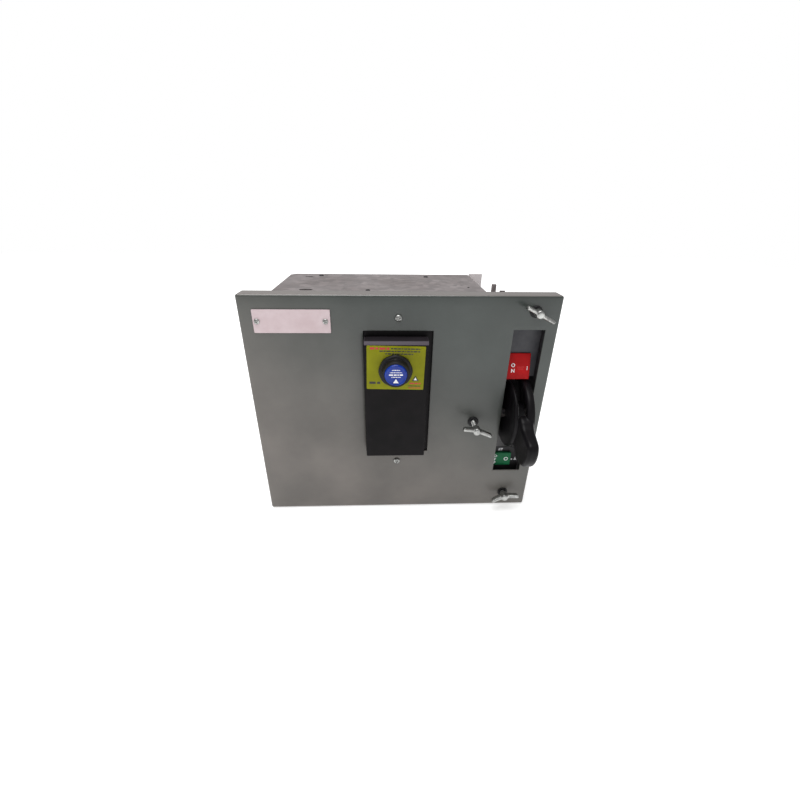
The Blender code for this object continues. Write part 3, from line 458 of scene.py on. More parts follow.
def enamel():
    """Baked enamel on steel: satin with orange peel 1.5 mm across, painted shade that runs from
    dark green-grey at the top and right to warmer grey towards the lower left, slow drifts of
    shade, rubbed patches about 35 mm across, and painted light on what faces up."""
    mat, tree, shader, coords = finish("baked_enamel_on_steel", "#606a64", 0.4)
    shader.inputs["Coat Weight"].default_value = 0.12
    shader.inputs["Coat Roughness"].default_value = 0.3
    waves, shade = drift(tree, coords, "#d4d6d5", "#ffffff", 110.0, 4.0)
    # Painted shade: darker along 0.6 x + z, from the lighter shade at the lower left to the darker
    # shade at the top and right, as the light falls on the door.
    slant = add(
        tree, "ShaderNodeVectorMath", [("Vector", coords, "Object")],
        operation="DOT_PRODUCT", _1=(0.6, 0.0, 1.0),
    )
    fade = add(
        tree, "ShaderNodeMapRange", [("Value", slant, "Value")],
        From_Min=-0.02, From_Max=0.33, interpolation_type="SMOOTHSTEP",
    )
    painted_shade = add(tree, "ShaderNodeValToRGB", [("Fac", fade, "Result")])
    painted_shade.color_ramp.elements[0].color = UNIT().enamel_painted_light
    painted_shade.color_ramp.elements[1].color = UNIT().enamel_painted_shade
    tinted = add(
        tree, "ShaderNodeMixRGB", [("Color1", painted_shade, "Color"), ("Color2", shade, "Color")],
        blend_type="MULTIPLY", Fac=1.0,
    )
    # Painted light: faces that turn up, such as the top fold, are mixed towards a pale warm grey,
    # as lit from above.
    facing = add(tree, "ShaderNodeSeparateXYZ", [("Vector", coords, "Normal")])
    painted_top_light = add(
        tree, "ShaderNodeMapRange", [("Value", facing, "Z")],
        From_Min=0.55, From_Max=0.95, To_Max=0.42,
    )
    add(
        tree, "ShaderNodeMixRGB", [("Fac", painted_top_light, "Result"), ("Color1", tinted, "Color")],
        [("Color", shader, "Base Color")], Color2=linear("#aaa09d"),
    )
    rub = add(
        tree, "ShaderNodeTexNoise", [("Vector", coords, "Object")], Scale=28.0, Detail=6.0,
        Roughness=0.6,
    )
    add(
        tree, "ShaderNodeMapRange", [("Value", rub, "Fac")], [("Result", shader, "Roughness")],
        To_Min=0.24, To_Max=0.42,
    )
    sheet_waves = add(
        tree, "ShaderNodeBump", [("Height", waves, "Fac")], Strength=0.25, Distance=1.2 * MM
    )
    peel = add(
        tree, "ShaderNodeTexNoise", [("Vector", coords, "Object")], Scale=650.0, Detail=2.0
    )
    add(
        tree, "ShaderNodeBump", [("Height", peel, "Fac"), ("Normal", sheet_waves, "Normal")],
        [("Normal", shader, "Normal")], Strength=0.12, Distance=0.15 * MM,
    )
    return mat


def galvanised():
    """Hot-dip galvanised sheet: flat spangle crystals about 9 mm across, each its own grey and
    gloss, with fine mill grain over them and grime in patches."""
    mat, tree, shader, coords = finish("galvanised_sheet", "#a39c9c", 0.45, 0.75)
    warp = add(
        tree, "ShaderNodeTexNoise", [("Vector", coords, "Object")], Scale=120.0, Detail=3.0
    )
    bent = add(
        tree, "ShaderNodeMixRGB", [("Color1", coords, "Object"), ("Color2", warp, "Color")],
        Fac=0.006,
    )
    cells = add(
        tree, "ShaderNodeTexVoronoi", [("Vector", bent, "Color")], Scale=110.0, Randomness=1.0
    )
    shade = add(tree, "ShaderNodeRGBToBW", [("Color", cells, "Color")])
    ramp = add(tree, "ShaderNodeValToRGB", [("Fac", shade, "Val")])
    ramp.color_ramp.elements[0].color = linear("#9c9595")
    ramp.color_ramp.elements[1].color = linear("#b0a8a8")
    _, grime = drift(tree, coords, "#d9d4d2", "#ffffff", 60.0, 5.0, (0.25, 0.6))
    add(
        tree, "ShaderNodeMixRGB", [("Color1", ramp, "Color"), ("Color2", grime, "Color")],
        [("Color", shader, "Base Color")], blend_type="MULTIPLY", Fac=0.8,
    )
    gloss_and_grain(tree, shader, coords, (shade, "Val"), 0.36, 0.56, 900.0, 0.08, 0.1)
    return mat


def plated(name, flat, metallic, low, high, size_mm, detail, contrast, rough, grain=None):
    """Plated or blackened metal: tarnished patches size_mm across that change colour and gloss."""
    mat, tree, shader, coords = finish(name, flat, 0.3, metallic)
    noise, ramp = drift(tree, coords, low, high, size_mm, detail, contrast)
    tree.links.new(ramp.outputs["Color"], shader.inputs["Base Color"])
    if grain is None:
        add(
            tree, "ShaderNodeMapRange", [("Value", noise, "Fac")],
            [("Result", shader, "Roughness")], To_Min=rough[0], To_Max=rough[1],
        )
    else:
        gloss_and_grain(tree, shader, coords, (noise, "Fac"), *rough, *grain)
    return mat


def moulded(name, dark, light, rough_low, rough_high, grain_mm, grain_height, gloss=0.5):
    """Moulded, painted or laid sheet: one pigment with a slow drift of shade, and a fine grain."""
    mat, tree, shader, coords = finish(name, light, rough_low, gloss=gloss)
    noise, ramp = drift(tree, coords, dark, light, 22.0, 4.0)
    tree.links.new(ramp.outputs["Color"], shader.inputs["Base Color"])
    gloss_and_grain(
        tree, shader, coords, (noise, "Fac"), rough_low, rough_high, 1000.0 / grain_mm, 0.2,
        grain_height,
    )
    return mat


def housing_shell():
    """Injection-moulded black polycarbonate: matt, with a dull grey painted highlight on its
    leaning edges and a little painted light on top, both read from how far the surface faces up."""
    mat, tree, shader, coords = finish("moulded_black_polycarbonate", "#131012", 0.36, gloss=0.1)
    noise, ramp = drift(tree, coords, "#090809", "#120f11", 22.0, 4.0)
    # Painted light: edges that lean up get a dull grey painted highlight, and the top face gets a
    # dark grey painted light, both added to the black by how far the surface faces up.
    facing = add(tree, "ShaderNodeSeparateXYZ", [("Vector", coords, "Normal")])
    edge = add(tree, "ShaderNodeValToRGB", [("Fac", facing, "Z")])
    painted_light_stops = edge.color_ramp.elements
    painted_light_stops[0].position, painted_light_stops[1].position = 0.35, 0.95
    painted_light_stops[0].color, painted_light_stops[1].color = linear("#000000"), linear("#201d20")
    for position in (0.6, 0.8):
        painted_light_stops.new(position).color = linear("#4c464d")
    add(
        tree, "ShaderNodeMixRGB", [("Color1", ramp, "Color"), ("Color2", edge, "Color")],
        [("Color", shader, "Base Color")], blend_type="ADD", Fac=1.0,
    )
    gloss_and_grain(tree, shader, coords, (noise, "Fac"), 0.36, 0.5, 770.0, 0.2, 0.08)
    return mat


def handled_phenolic():
    """Compression-moulded black phenolic, polished by hands: deep black with scuffs about 14 mm
    across and a grain drawn 1.25 mm across so that it shows."""
    mat, tree, shader, coords = finish("compression_moulded_phenolic", "#121013", 0.34, gloss=0.14)
    _, ramp = drift(tree, coords, "#080709", "#121013", 18.0, 5.0)
    tree.links.new(ramp.outputs["Color"], shader.inputs["Base Color"])
    scuff = add(
        tree, "ShaderNodeTexNoise", [("Vector", coords, "Object")], Scale=70.0, Detail=8.0,
        Roughness=0.7,
    )
    add(
        tree, "ShaderNodeMapRange", [("Value", scuff, "Fac")], [("Result", shader, "Roughness")],
        To_Min=0.26, To_Max=0.52,
    )
    grain = add(
        tree, "ShaderNodeTexNoise", [("Vector", coords, "Object")], Scale=800.0, Detail=3.0
    )
    add(
        tree, "ShaderNodeBump", [("Height", grain, "Fac")], [("Normal", shader, "Normal")],
        Strength=0.18, Distance=0.12 * MM,
    )
    return mat


def fibre_board():
    """Glass-mat polyester board: milky white with pale strands 2.4 mm apart lying every way under
    the skin."""
    mat, tree, shader, coords = finish("glass_mat_polyester_board", "#e6e0e1", 0.5)
    shader.inputs["IOR"].default_value = 1.54
    strands = add(
        tree, "ShaderNodeTexVoronoi", [("Vector", coords, "Object")], Scale=420.0,
        feature="DISTANCE_TO_EDGE",
    )
    ramp = add(
        tree, "ShaderNodeValToRGB", [("Fac", strands, "Distance")],
        [("Color", shader, "Base Color")],
    )
    ramp.color_ramp.elements[0].color = linear("#e0d8d8")
    ramp.color_ramp.elements[1].color = linear("#eae5e5")
    ramp.color_ramp.elements[1].position = 0.4
    add(
        tree, "ShaderNodeBump", [("Height", strands, "Distance")], [("Normal", shader, "Normal")],
        Strength=0.15, Distance=0.1 * MM,
    )
    return mat


def acrylic():
    """Injection-moulded blue acrylic lens: saturated, glossy, with a little light let in."""
    mat, tree, shader, coords = finish("blue_acrylic_lens", "#1748b6", 0.2, gloss=0.3)
    _, ramp = drift(tree, coords, "#052880", "#0d3695", 14.0, 2.0)
    tree.links.new(ramp.outputs["Color"], shader.inputs["Base Color"])
    shader.inputs["Subsurface Weight"].default_value = 0.08
    shader.inputs["Subsurface Radius"].default_value = (0.001, 0.002, 0.006)
    return mat


def ink(name, colour):
    """Screen-printed ink: flat colour, its gloss slightly uneven where the mesh left less of it."""
    mat, tree, shader, coords = finish(name, colour, 0.55)
    noise = add(
        tree, "ShaderNodeTexNoise", [("Vector", coords, "Object")], Scale=900.0, Detail=2.0
    )
    add(
        tree, "ShaderNodeMapRange", [("Value", noise, "Fac")], [("Result", shader, "Roughness")],
        To_Min=0.47, To_Max=0.63,
    )
    return mat


def studio_floor():
    """Pale matt paper sweep: near white, lifted more the further it lies from the object, so that
    it stays white away from the lamps."""
    mat, tree, shader, coords = finish("pale_paper_floor", "#f8f8f8", 0.7, gloss=0.1)
    shader.inputs["Emission Color"].default_value = linear("#ffffff")
    reach = add(tree, "ShaderNodeVectorMath", [("Vector", coords, "Object")], operation="LENGTH")
    add(
        tree, "ShaderNodeMapRange", [("Value", reach, "Value")],
        [("Result", shader, "Emission Strength")],
        From_Min=0.25, From_Max=1.1, To_Min=0.5, To_Max=1.0,
    )
    _, ramp = drift(tree, coords, "#f6f6f6", "#f9f9f9", 300.0, 2.0)
    tree.links.new(ramp.outputs["Color"], shader.inputs["Base Color"])
    return mat


# Each finish: its maker and what the maker is given
FINISHES = {
    "enamel": (enamel,),
    "galvanised": (galvanised,),
    # Bright zinc plate on cast or cold-headed steel: pale metal with small tarnished patches
    "zinc": (
        plated, "zinc_plated_steel", "#b4b5b3", 1.0, "#838382", "#b4b5b2", 6.0, 5.0, (0.3, 0.62),
        (0.46, 0.28), (1400.0, 0.12, 0.08),
    ),
    # Oiled black-oxide steel: dark metal, brown where it wears
    "oxide": (
        plated, "black_oxide_steel", "#3f3e40", 0.95, "#2f2e30", "#57524e", 9.0, 5.0, (0.35, 0.65),
        (0.36, 0.55),
    ),
    # Silver-plated copper: warm pale metal, rubbed through to copper in spots
    "copper": (
        plated, "silver_plated_copper", "#b9a594", 1.0, "#a3745a", "#c8bfb2", 7.0, 6.0, (0.28, 0.5),
        (0.4, 0.22),
    ),
    "phenolic": (handled_phenolic,),
    "housing": (housing_shell,),
    "board": (fibre_board,),
    "lens": (acrylic,),
    "floor": (studio_floor,),
    # Injection-moulded nylon, satin black
    "nylon": (moulded, "moulded_black_nylon", "#0d0c0e", "#17161a", 0.38, 0.55, 1.1, 0.06, 0.25),
    # Compression-moulded glass-filled polyester, matt brown-black
    "brown": (moulded, "glass_filled_polyester", "#2e2728", "#443a3b", 0.42, 0.6, 1.6, 0.12),
    # Sprayed paint on steel, satin
    "grey_paint": (moulded, "grey_painted_steel", "#37373c", "#464649", 0.4, 0.55, 1.4, 0.05, 0.3),
    # Near-black painted shade, drawn on steel that lies in shade: the frame's inside and the lower
    # plate behind the slot.
    "painted_shade_black": (
        moulded, "black_painted_frame_steel", "#1f1e20", "#302f31", 0.4, 0.6, 1.4, 0.05, 0.25,
    ),
    # Injection-moulded ABS, semi-gloss
    "red": (moulded, "moulded_red_abs", "#920a0e", "#ad1013", 0.34, 0.45, 1.2, 0.04, 0.12),
    "green": (moulded, "moulded_green_abs", "#0a4c2e", "#10603b", 0.34, 0.45, 1.2, 0.04, 0.15),
    # Pressed engraving laminate, and calendered vinyl film
    "laminate": (moulded, "white_engraving_laminate", "#beaaad", "#cab9bc", 0.3, 0.42, 1.5, 0.03),
    "vinyl": (moulded, "yellow_vinyl_label", "#74740a", "#80810f", 0.34, 0.46, 1.5, 0.02, 0.12),
    "white_ink": (ink, "white_screen_ink", "#e4e4e6"),
    "black_ink": (ink, "black_screen_ink", "#26241c"),
    "red_ink": (ink, "red_screen_ink", "#b3282a"),
}
LIBRARY = {}


def material(key):
    """Each finish is made once."""
    if key not in LIBRARY:
        maker, *given = FINISHES[key]
        LIBRARY[key] = maker(*given)
    return LIBRARY[key]


# ---------------------------------------------------------------- settings


class SWITCHUNIT_PG_sizes(bpy.types.PropertyGroup):
    """Sizes of the visible pieces, in metres, and the two colours of the enamel's painted shade."""

    bend_radius: bpy.props.FloatProperty(
        name="Door bend radius", description="Outside radius of the door's folds", default=0.003,
        unit="LENGTH",
    )
    sheet: bpy.props.FloatProperty(
        name="Door sheet", description="Thickness of the door's steel", default=0.002, unit="LENGTH"
    )
    oil_can: bpy.props.FloatProperty(
        name="Sheet waviness", description="How far the door's face strays from flat",
        default=0.00018, unit="LENGTH",
    )
    handle_voxel: bpy.props.FloatProperty(
        name="Handle grain", description="Cell size that melts the handle's shapes together",
        default=0.0008, unit="LENGTH",
    )
    thread_pitch: bpy.props.FloatProperty(
        name="Thread pitch", description="Distance between the wing screws' threads",
        default=0.00127, unit="LENGTH",
    )
    # The two ends of the enamel's painted shade: darker at the top and right, lighter at the lower
    # left.
    enamel_painted_shade: bpy.props.FloatVectorProperty(
        name="Enamel, darker shade", description="Enamel at the top and right", size=4,
        subtype="COLOR", default=linear("#3c423f"), min=0.0, max=1.0,
    )
    enamel_painted_light: bpy.props.FloatVectorProperty(
        name="Enamel, lighter shade", description="Enamel at the lower left", size=4,
        subtype="COLOR", default=linear("#6d6762"), min=0.0, max=1.0,
    )


class SWITCHUNIT_PG_studio(bpy.types.PropertyGroup):
    """The studio's light and view."""

    lens: bpy.props.FloatProperty(
        name="Lens", description="Focal length on a 36 mm wide sensor, in mm", default=17.46
    )
    key_power: bpy.props.FloatProperty(
        name="Key light", description="Power of the large soft light", default=30.0, unit="POWER"
    )
    fill_power: bpy.props.FloatProperty(
        name="Fill light", description="Power of the front fill", default=1.3, unit="POWER"
    )
    world: bpy.props.FloatProperty(
        name="Surround", description="Strength of the even white surround", default=0.38
    )


def UNIT():
    return bpy.context.scene.switch_unit_sizes


def STUDIO():
    return bpy.context.scene.switch_unit_studio


# ---------------------------------------------------------------- pieces


def door_skin():
    """Outer skin of the folded door. Face: a grid of (x, z) with a shallow wave in y, a product and
    a sum of sines that fade within 60 mm of the edges, and the openings left out. Sides: the same
    edge points carried round a quarter circle of the bend radius and then straight back. Corners:
    the quarter circle turned about the corner, a patch of a ball, then a quarter cylinder."""
    r = UNIT().bend_radius / MM
    w, h = DOOR_W, DOOR_H
    holes = np.array([DEVICE_HOLE, HANDLE_SLOT])
    notches = np.array(HINGE_NOTCHES)
    xs = np.unique(np.concatenate([np.linspace(r, w - r, 34), holes[:, :2].ravel()]))
    zs = np.unique(
        np.concatenate([np.linspace(r, h - r, 30), holes[:, 2:].ravel(), notches.ravel()])
    )
    gx, gz = np.meshgrid(xs, zs, indexing="ij")
    edge = np.minimum(np.minimum(gx - r, w - r - gx), np.minimum(gz - r, h - r - gz))
    calm = np.clip(edge / 60.0, 0.0, 1.0) ** 1.5
    wave = UNIT().oil_can / MM * calm * (
        np.sin(gx / 61.0 + 0.7) * np.cos(gz / 47.0) + 0.4 * np.sin(gx / 27.0 - gz / 33.0)
    )
    points, quads = grid(np.stack([gx, wave, gz], axis=-1))
    cx = (xs[:-1] + xs[1:])[:, None] / 2.0
    cz = (zs[:-1] + zs[1:])[None, :] / 2.0
    keep = np.ones((len(xs) - 1, len(zs) - 1), bool)
    for x0, x1, z0, z1 in holes:
        keep &= ~((cx > x0) & (cx < x1) & (cz > z0) & (cz < z1))
    parts = [(points, quads[keep.ravel()])]
    a = np.linspace(0.0, np.pi / 2.0, 7)
    out = np.concatenate([r * np.sin(a), [r, r, r, r]])
    deep = np.concatenate([r * (1 - np.cos(a)), [8.6, 13.0, 17.5, FOLD_DEPTH]])
    bend_rows = 5
    for x_fold, z_fold in ((r - out, r - out), (w - r + out, h - r + out)):
        shape = (len(out), len(zs))
        x = np.broadcast_to(x_fold[:, None], shape)
        y = np.broadcast_to(deep[:, None], shape)
        strip, cells = grid(np.stack([x, y, np.broadcast_to(zs, shape)], axis=-1))
        if x_fold[0] < w / 2.0:
            inside = (cz > notches[:, :1]) & (cz < notches[:, 1:])
            behind = np.arange(len(out) - 1)[:, None] >= bend_rows
            cells = cells[~(inside.any(axis=0)[None, :] & behind).ravel()]
        parts.append((strip, cells))
        shape = (len(out), len(xs))
        y = np.broadcast_to(deep[:, None], shape)
        z = np.broadcast_to(z_fold[:, None], shape)
        parts.append(grid(np.stack([np.broadcast_to(xs, shape), y, z], axis=-1)))
    b = np.linspace(0.0, np.pi / 2.0, 7)
    for sx, x_mid in ((-1, r), (1, w - r)):
        for sz, z_mid in ((-1, r), (1, h - r)):
            x = x_mid + sx * out[:, None] * np.cos(b)[None, :]
            z = z_mid + sz * out[:, None] * np.sin(b)[None, :]
            y = np.broadcast_to(deep[:, None], x.shape)
            parts.append(grid(np.stack([x, y, z], axis=-1)))
    return parts


class SWITCHUNIT_OT_door(bpy.types.Operator):
    """Enamelled door with folded edges and its openings"""

    bl_idname = "switch_unit.door"
    bl_label = "Door"

    def execute(self, context):
        door = make("door_sheet", door_skin(), "enamel", "door", ["door_panel"], 50.0)
        modify(
            door, "SOLIDIFY", "steel", thickness=UNIT().sheet, offset=-1.0, use_even_offset=True
        )
        modify(
            door, "BEVEL", "rolled_edge", width=0.35 * MM, segments=2, limit_method="ANGLE",
            angle_limit=math.radians(60),
        )
        applied(door)
        door.data.set_sharp_from_angle(angle=math.radians(50))
        return {"FINISHED"}


def screw_head(x, z, y_top, radius, height, turn):
    """Pan head seen from the front: a polar grid whose depth is a low dome, sunk to the cross
    recess where the distance from a slot's middle line is under 0.13 of the radius, and whose rim
    runs down to the seat."""
    rings = np.linspace(0.0, 1.0, 15)
    sides = 64
    a = np.linspace(0.0, 2.0 * np.pi, sides, endpoint=False)
    dome = height * (1.0 - np.sqrt(np.clip(1.0 - (rings * 0.93) ** 2, 0.0, 1.0)))[:, None]
    u = rings[:, None] * radius * np.cos(a)[None, :]
    v = rings[:, None] * radius * np.sin(a)[None, :]
    depth = y_top + dome * np.ones_like(u)
    for slot_turn in (turn, turn + 90.0):
        b = math.radians(slot_turn)
        off = np.abs(-u * math.sin(b) + v * math.cos(b))
        reach = np.abs(u * math.cos(b) + v * math.sin(b))
        inside = np.clip((radius * 0.13 - off) / 0.12, 0, 1)
        inside = inside * np.clip((radius * 0.62 - reach) / 0.2, 0, 1)
        depth = np.maximum(depth, y_top + 0.1 + inside * height * 0.62)
    top = np.stack([x + u, depth, z + v], axis=-1)
    seat = y_top + height
    rim = top[-1:].copy()
    rim[..., 1] = seat
    middle = np.broadcast_to([x, seat, z], (1, sides, 3))
    return grid(np.concatenate([top, rim, middle], axis=0), wrap=True)


def shank(x, z, radius, low, high):
    """Plain screw shank: a circle about y carried from low to high, closed at both ends."""
    return turned((x, 0, z), "Y", [(0, low), (radius, low), (radius, high), (0, high)], 20)


class SWITCHUNIT_OT_nameplate(bpy.types.Operator):
    """Blank laminated nameplate with its two screws"""

    bl_idname = "switch_unit.nameplate"
    bl_label = "Nameplate"

    def execute(self, context):
        plate = slab(rectangle(17, 277.2, 109, 305.8, 1.2), "Y", -1.8, -0.3, 0.5, 3)
        make("nameplate_face", [plate], "laminate", "door", ["nameplate"])
        for n, (x, turn) in enumerate(((22.0, 20.0), (103.0, 70.0)), 1):
            parts = [screw_head(x, 291.5, -3.9, 3.3, 1.9, turn), shank(x, 291.5, 1.5, -2.0, 6.0)]
            name = f"nameplate_screw_head_{n}"
            make(name, parts, "zinc", "door", [f"nameplate_screw_{n}"], 40.0)
        return {"FINISHED"}


def turned_flat(parts, centre, degrees):
    """Parts turned about the y axis through (x, z): x and z go round by the angle, y stays."""
    c = math.cos(math.radians(degrees))
    w = math.sin(math.radians(degrees))
    turn = np.array([[c, 0.0, w], [0.0, 1.0, 0.0], [-w, 0.0, c]])
    middle = np.array([centre[0], 0.0, centre[1]])
    return [((points - middle) @ turn + middle, faces) for points, faces in parts]


class SWITCHUNIT_OT_pilot_device(bpy.types.Operator):
    """Black housing with its label, ring, blue lens and screws"""

    bl_idname = "switch_unit.pilot_device"
    bl_label = "Pilot device"

    def execute(self, context):
        side = rounded(
            [
                (-20.0, 190.0), (-20.0, 267.9), (-15.6, 272.0), (2.4, 272.0), (2.4, 108.0),
                (-20.0, 108.0), (-20.0, 190.0),
            ],
            1.2, 4,
        )[:-1]
        cover = slab(side[::-1], "X", 148.5, 227.5, 1.3, 4)
        flange = slab(rectangle(138.5, 76, 242.5, 305.5, 3.0), "Y", 2.3, 5.3, 0.4, 2)
        make("device_cover", [cover, flange], "housing", "door", ["device_housing"], 38.0)
        self.label()
        self.button()
        for n, (z, turn) in enumerate(((295.5, 12.0), (85.8, 70.0)), 1):
            parts = [screw_head(190.7, z, -3.6, 4.4, 3.2, turn), shank(190.7, z, 2.0, -0.5, 9.0)]
            make(f"cover_screw_{n}", parts, "zinc", "door", [f"housing_screw_{n}"], 40.0)
        return {"FINISHED"}

    def label(self):
        """The label and its print sit about a degree out of square, as stuck on by hand."""
        middle = (187.2, 238.8)
        turn = -1.2

        def stuck(name, part, key, replaces=()):
            flat = turned_flat([part], middle, turn)
            make(name, flat, key, "door", replaces)

        sheet = slab(rectangle(151.6, 210.2, 222.8, 267.4, 1.2), "Y", LABEL_FACE, -20.3, 0.12, 2)
        stuck("label_sheet", sheet, "vinyl", ["warning_label"])
        dark = [(181, 216, 264.0, 1.5, 1), (167, 216, 260.7, 1.5, 5), (174, 209, 257.4, 1.5, 9)]
        dark += [(155, 168.5, 219.0, 3.0, 13), (203, 219, 215.2, 1.1, 17)]
        stuck("label_dark_lines", dashes(dark, LABEL_FACE), "black_ink")
        red = [(155.5, 179, 264.0, 2.6, 3), (205, 219, 218.8, 1.7, 7), (204, 220, 212.6, 1.1, 15)]
        stuck("label_red_lines", dashes(red, LABEL_FACE), "red_ink")
        outer = [(207.8, 222.0), (216.4, 222.0), (212.1, 229.6)]
        inner = [(210.0, 223.3), (214.2, 223.3), (212.1, 227.2)]
        stuck("label_mark", slab(outer, "Y", -20.95, -20.78, 0.05, 1), "black_ink")
        stuck("label_mark_inside", slab(inner, "Y", -21.05, -20.9, 0.05, 1), "white_ink")

    def button(self):
        """Ring with eight shallow lobes on its barrel, the lens in it, the coil behind and its
        print."""
        lobed_rows = (12, 28)

        def lobes(angle, row):
            on_barrel = (row >= lobed_rows[0]) & (row <= lobed_rows[1])
            return np.where(on_barrel, 1.0 + 0.013 * np.cos(8 * angle), 1.0)

        ring = rounded(
            [
                (14.0, -35.7), (16.2, -35.7), (16.9, -31.0), (16.9, -25.7), (19.6, -25.7),
                (20.75, -24.4), (20.75, -21.1), (15.5, -21.1), (15.5, -5.0), (4.6, -5.0),
                (4.6, -7.0), (14.0, -7.0), (14.0, -35.0),
            ],
            0.8, 4,
        )
        bezel = turned(BUTTON, "Y", ring, 96, lobes)
        make("bezel", [bezel], "nylon", "door", ["bezel_ring"], 34.0)
        lens = rounded(
            [
                (0.0, -37.0), (10.9, -37.3), (11.6, -37.8), (12.6, -37.8), (13.7, -36.4),
                (13.7, -23.0), (4.0, -23.0), (4.0, 4.0), (0.0, 4.0),
            ],
            0.9, 4,
        )
        lens = turned(BUTTON, "Y", lens, 64)
        make("lens_button", [lens], "lens", "button", ["push_button"], 34.0)
        self.coil()
        rows = [
            (180.5, 193.5, 243.0, 1.2, 2), (178.5, 195.5, 239.9, 0.9, 6),
            (178.5, 195.5, 236.9, 1.7, 10), (181.5, 192.5, 234.0, 0.9, 14),
        ]
        mark = slab([(183.6, 226.4), (190.4, 226.4), (187.0, 231.6)], "Y", -37.4, -37.1, 0.05, 1)
        marks = [dashes(rows, -37.15), mark]
        make("lens_marks", marks, "white_ink", "button")

    def coil(self):
        """Return spring: a wire 1 mm thick on a helix of five turns, its radius 8 mm and its height
        growing evenly with the angle."""
        turns, radius, wire, back, length = 5.0, 8.0, 0.5, -7.95, 14.1
        t = np.linspace(0.0, 1.0, 121)
        a = t * turns * 2.0 * np.pi
        outward = np.column_stack([np.cos(a), np.zeros_like(a), np.sin(a)])
        along = np.column_stack([np.zeros_like(t), back - length * t, np.zeros_like(t)])
        helix = np.array(BUTTON) + outward * radius + along
        thick = np.full(len(t), wire)
        spring = swept(helix, outward, np.array([[0, 1.0, 0]]), thick, thick, 2.0, 10)
        coil = make("return_coil", [spring], "zinc", "door", ["button_spring"])
        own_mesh(coil)


class SWITCHUNIT_OT_indicators(bpy.types.Operator):
    """Red ON plate, green OFF plate and the grey plates behind the handle slot"""

    bl_idname = "switch_unit.indicators"
    bl_label = "Position plates"

    def execute(self, context):
        self.on_plate()
        self.off_plate()
        repaint("upper_face_plate", "grey_paint")
        # The lower plate is grey painted steel lying in shade, drawn near-black as painted shade.
        repaint("lower_face_plate", "painted_shade_black")
        return {"FINISHED"}

    def on_plate(self):
        """Wedge whose front leans back 6 mm in 28, with its letters leaning alike."""
        foot, lean = 212.0, math.atan2(6.0, 28.0)
        outline = rounded(
            [(14.1, foot), (4.5, foot), (10.5, 240.0), (12.0, 246.0), (14.1, 246.0), (14.1, foot)],
            1.2, 4,
        )[:-1]
        wedge = slab(outline[::-1], "X", 325.0, 366.0, 1.2, 4)
        make("on_wedge", [wedge], "red", "pan", ["on_plate"], 34.0)
        letters = [
            lettering("O", 6.6, 343.0, 7.9, 230.6, bold=0.12, lean=lean),
            lettering("N", 6.6, 343.0, 6.3, 223.4, bold=0.12, lean=lean),
            lettering("I", 7.4, 362.0, 7.2, 226.6, lean=lean),
        ]
        letters_object("on_letters", letters, "white_ink", "pan")
        points, faces = dashes([(349.0, 358.0, 228.2, 0.9, 4), (350.0, 357.0, 225.6, 0.9, 8)], 0.0)
        points[:, 1] += 4.5 + (points[:, 2] - foot) * math.tan(lean)
        make("on_fine_lines", [(points, faces)], "red_ink", "pan")

    def off_plate(self):
        """Flat tablet with its letters, and the small marks beside it on the lower plate."""
        tablet = slab(rectangle(325, 68, 362, 90, 1.2), "Y", 9.5, 14.1, 0.9, 4)
        make("off_tablet", [tablet], "green", "pan", ["off_plate"])
        letters = [
            lettering("O", 6.0, 338.5, 9.45, 84.5, bold=0.1),
            lettering("F", 6.0, 338.5, 9.45, 78.6, bold=0.1),
            lettering("F", 6.0, 338.5, 9.45, 72.6, bold=0.1),
            lettering("O", 8.4, 354.8, 9.45, 79.0, bold=0.05),
        ]
        letters_object("off_letters", letters, "white_ink", "pan")
        dot = [(0, 14.2), (1.4, 14.25), (1.4, 14.39), (0, 14.39)]
        marks = [
            dashes([(343.5, 350.5, 94.6, 1.2, 1), (343.0, 350.0, 92.2, 1.2, 5)], 14.36),
            turned((365.5, 0, 75.0), "Y", dot, 16),
            slab([(368.6, 73.6), (373.0, 73.6), (370.6, 79.6)], "Y", 14.2, 14.38, 0.05, 1),
        ]
        make("lower_plate_marks", marks, "white_ink", "pan")


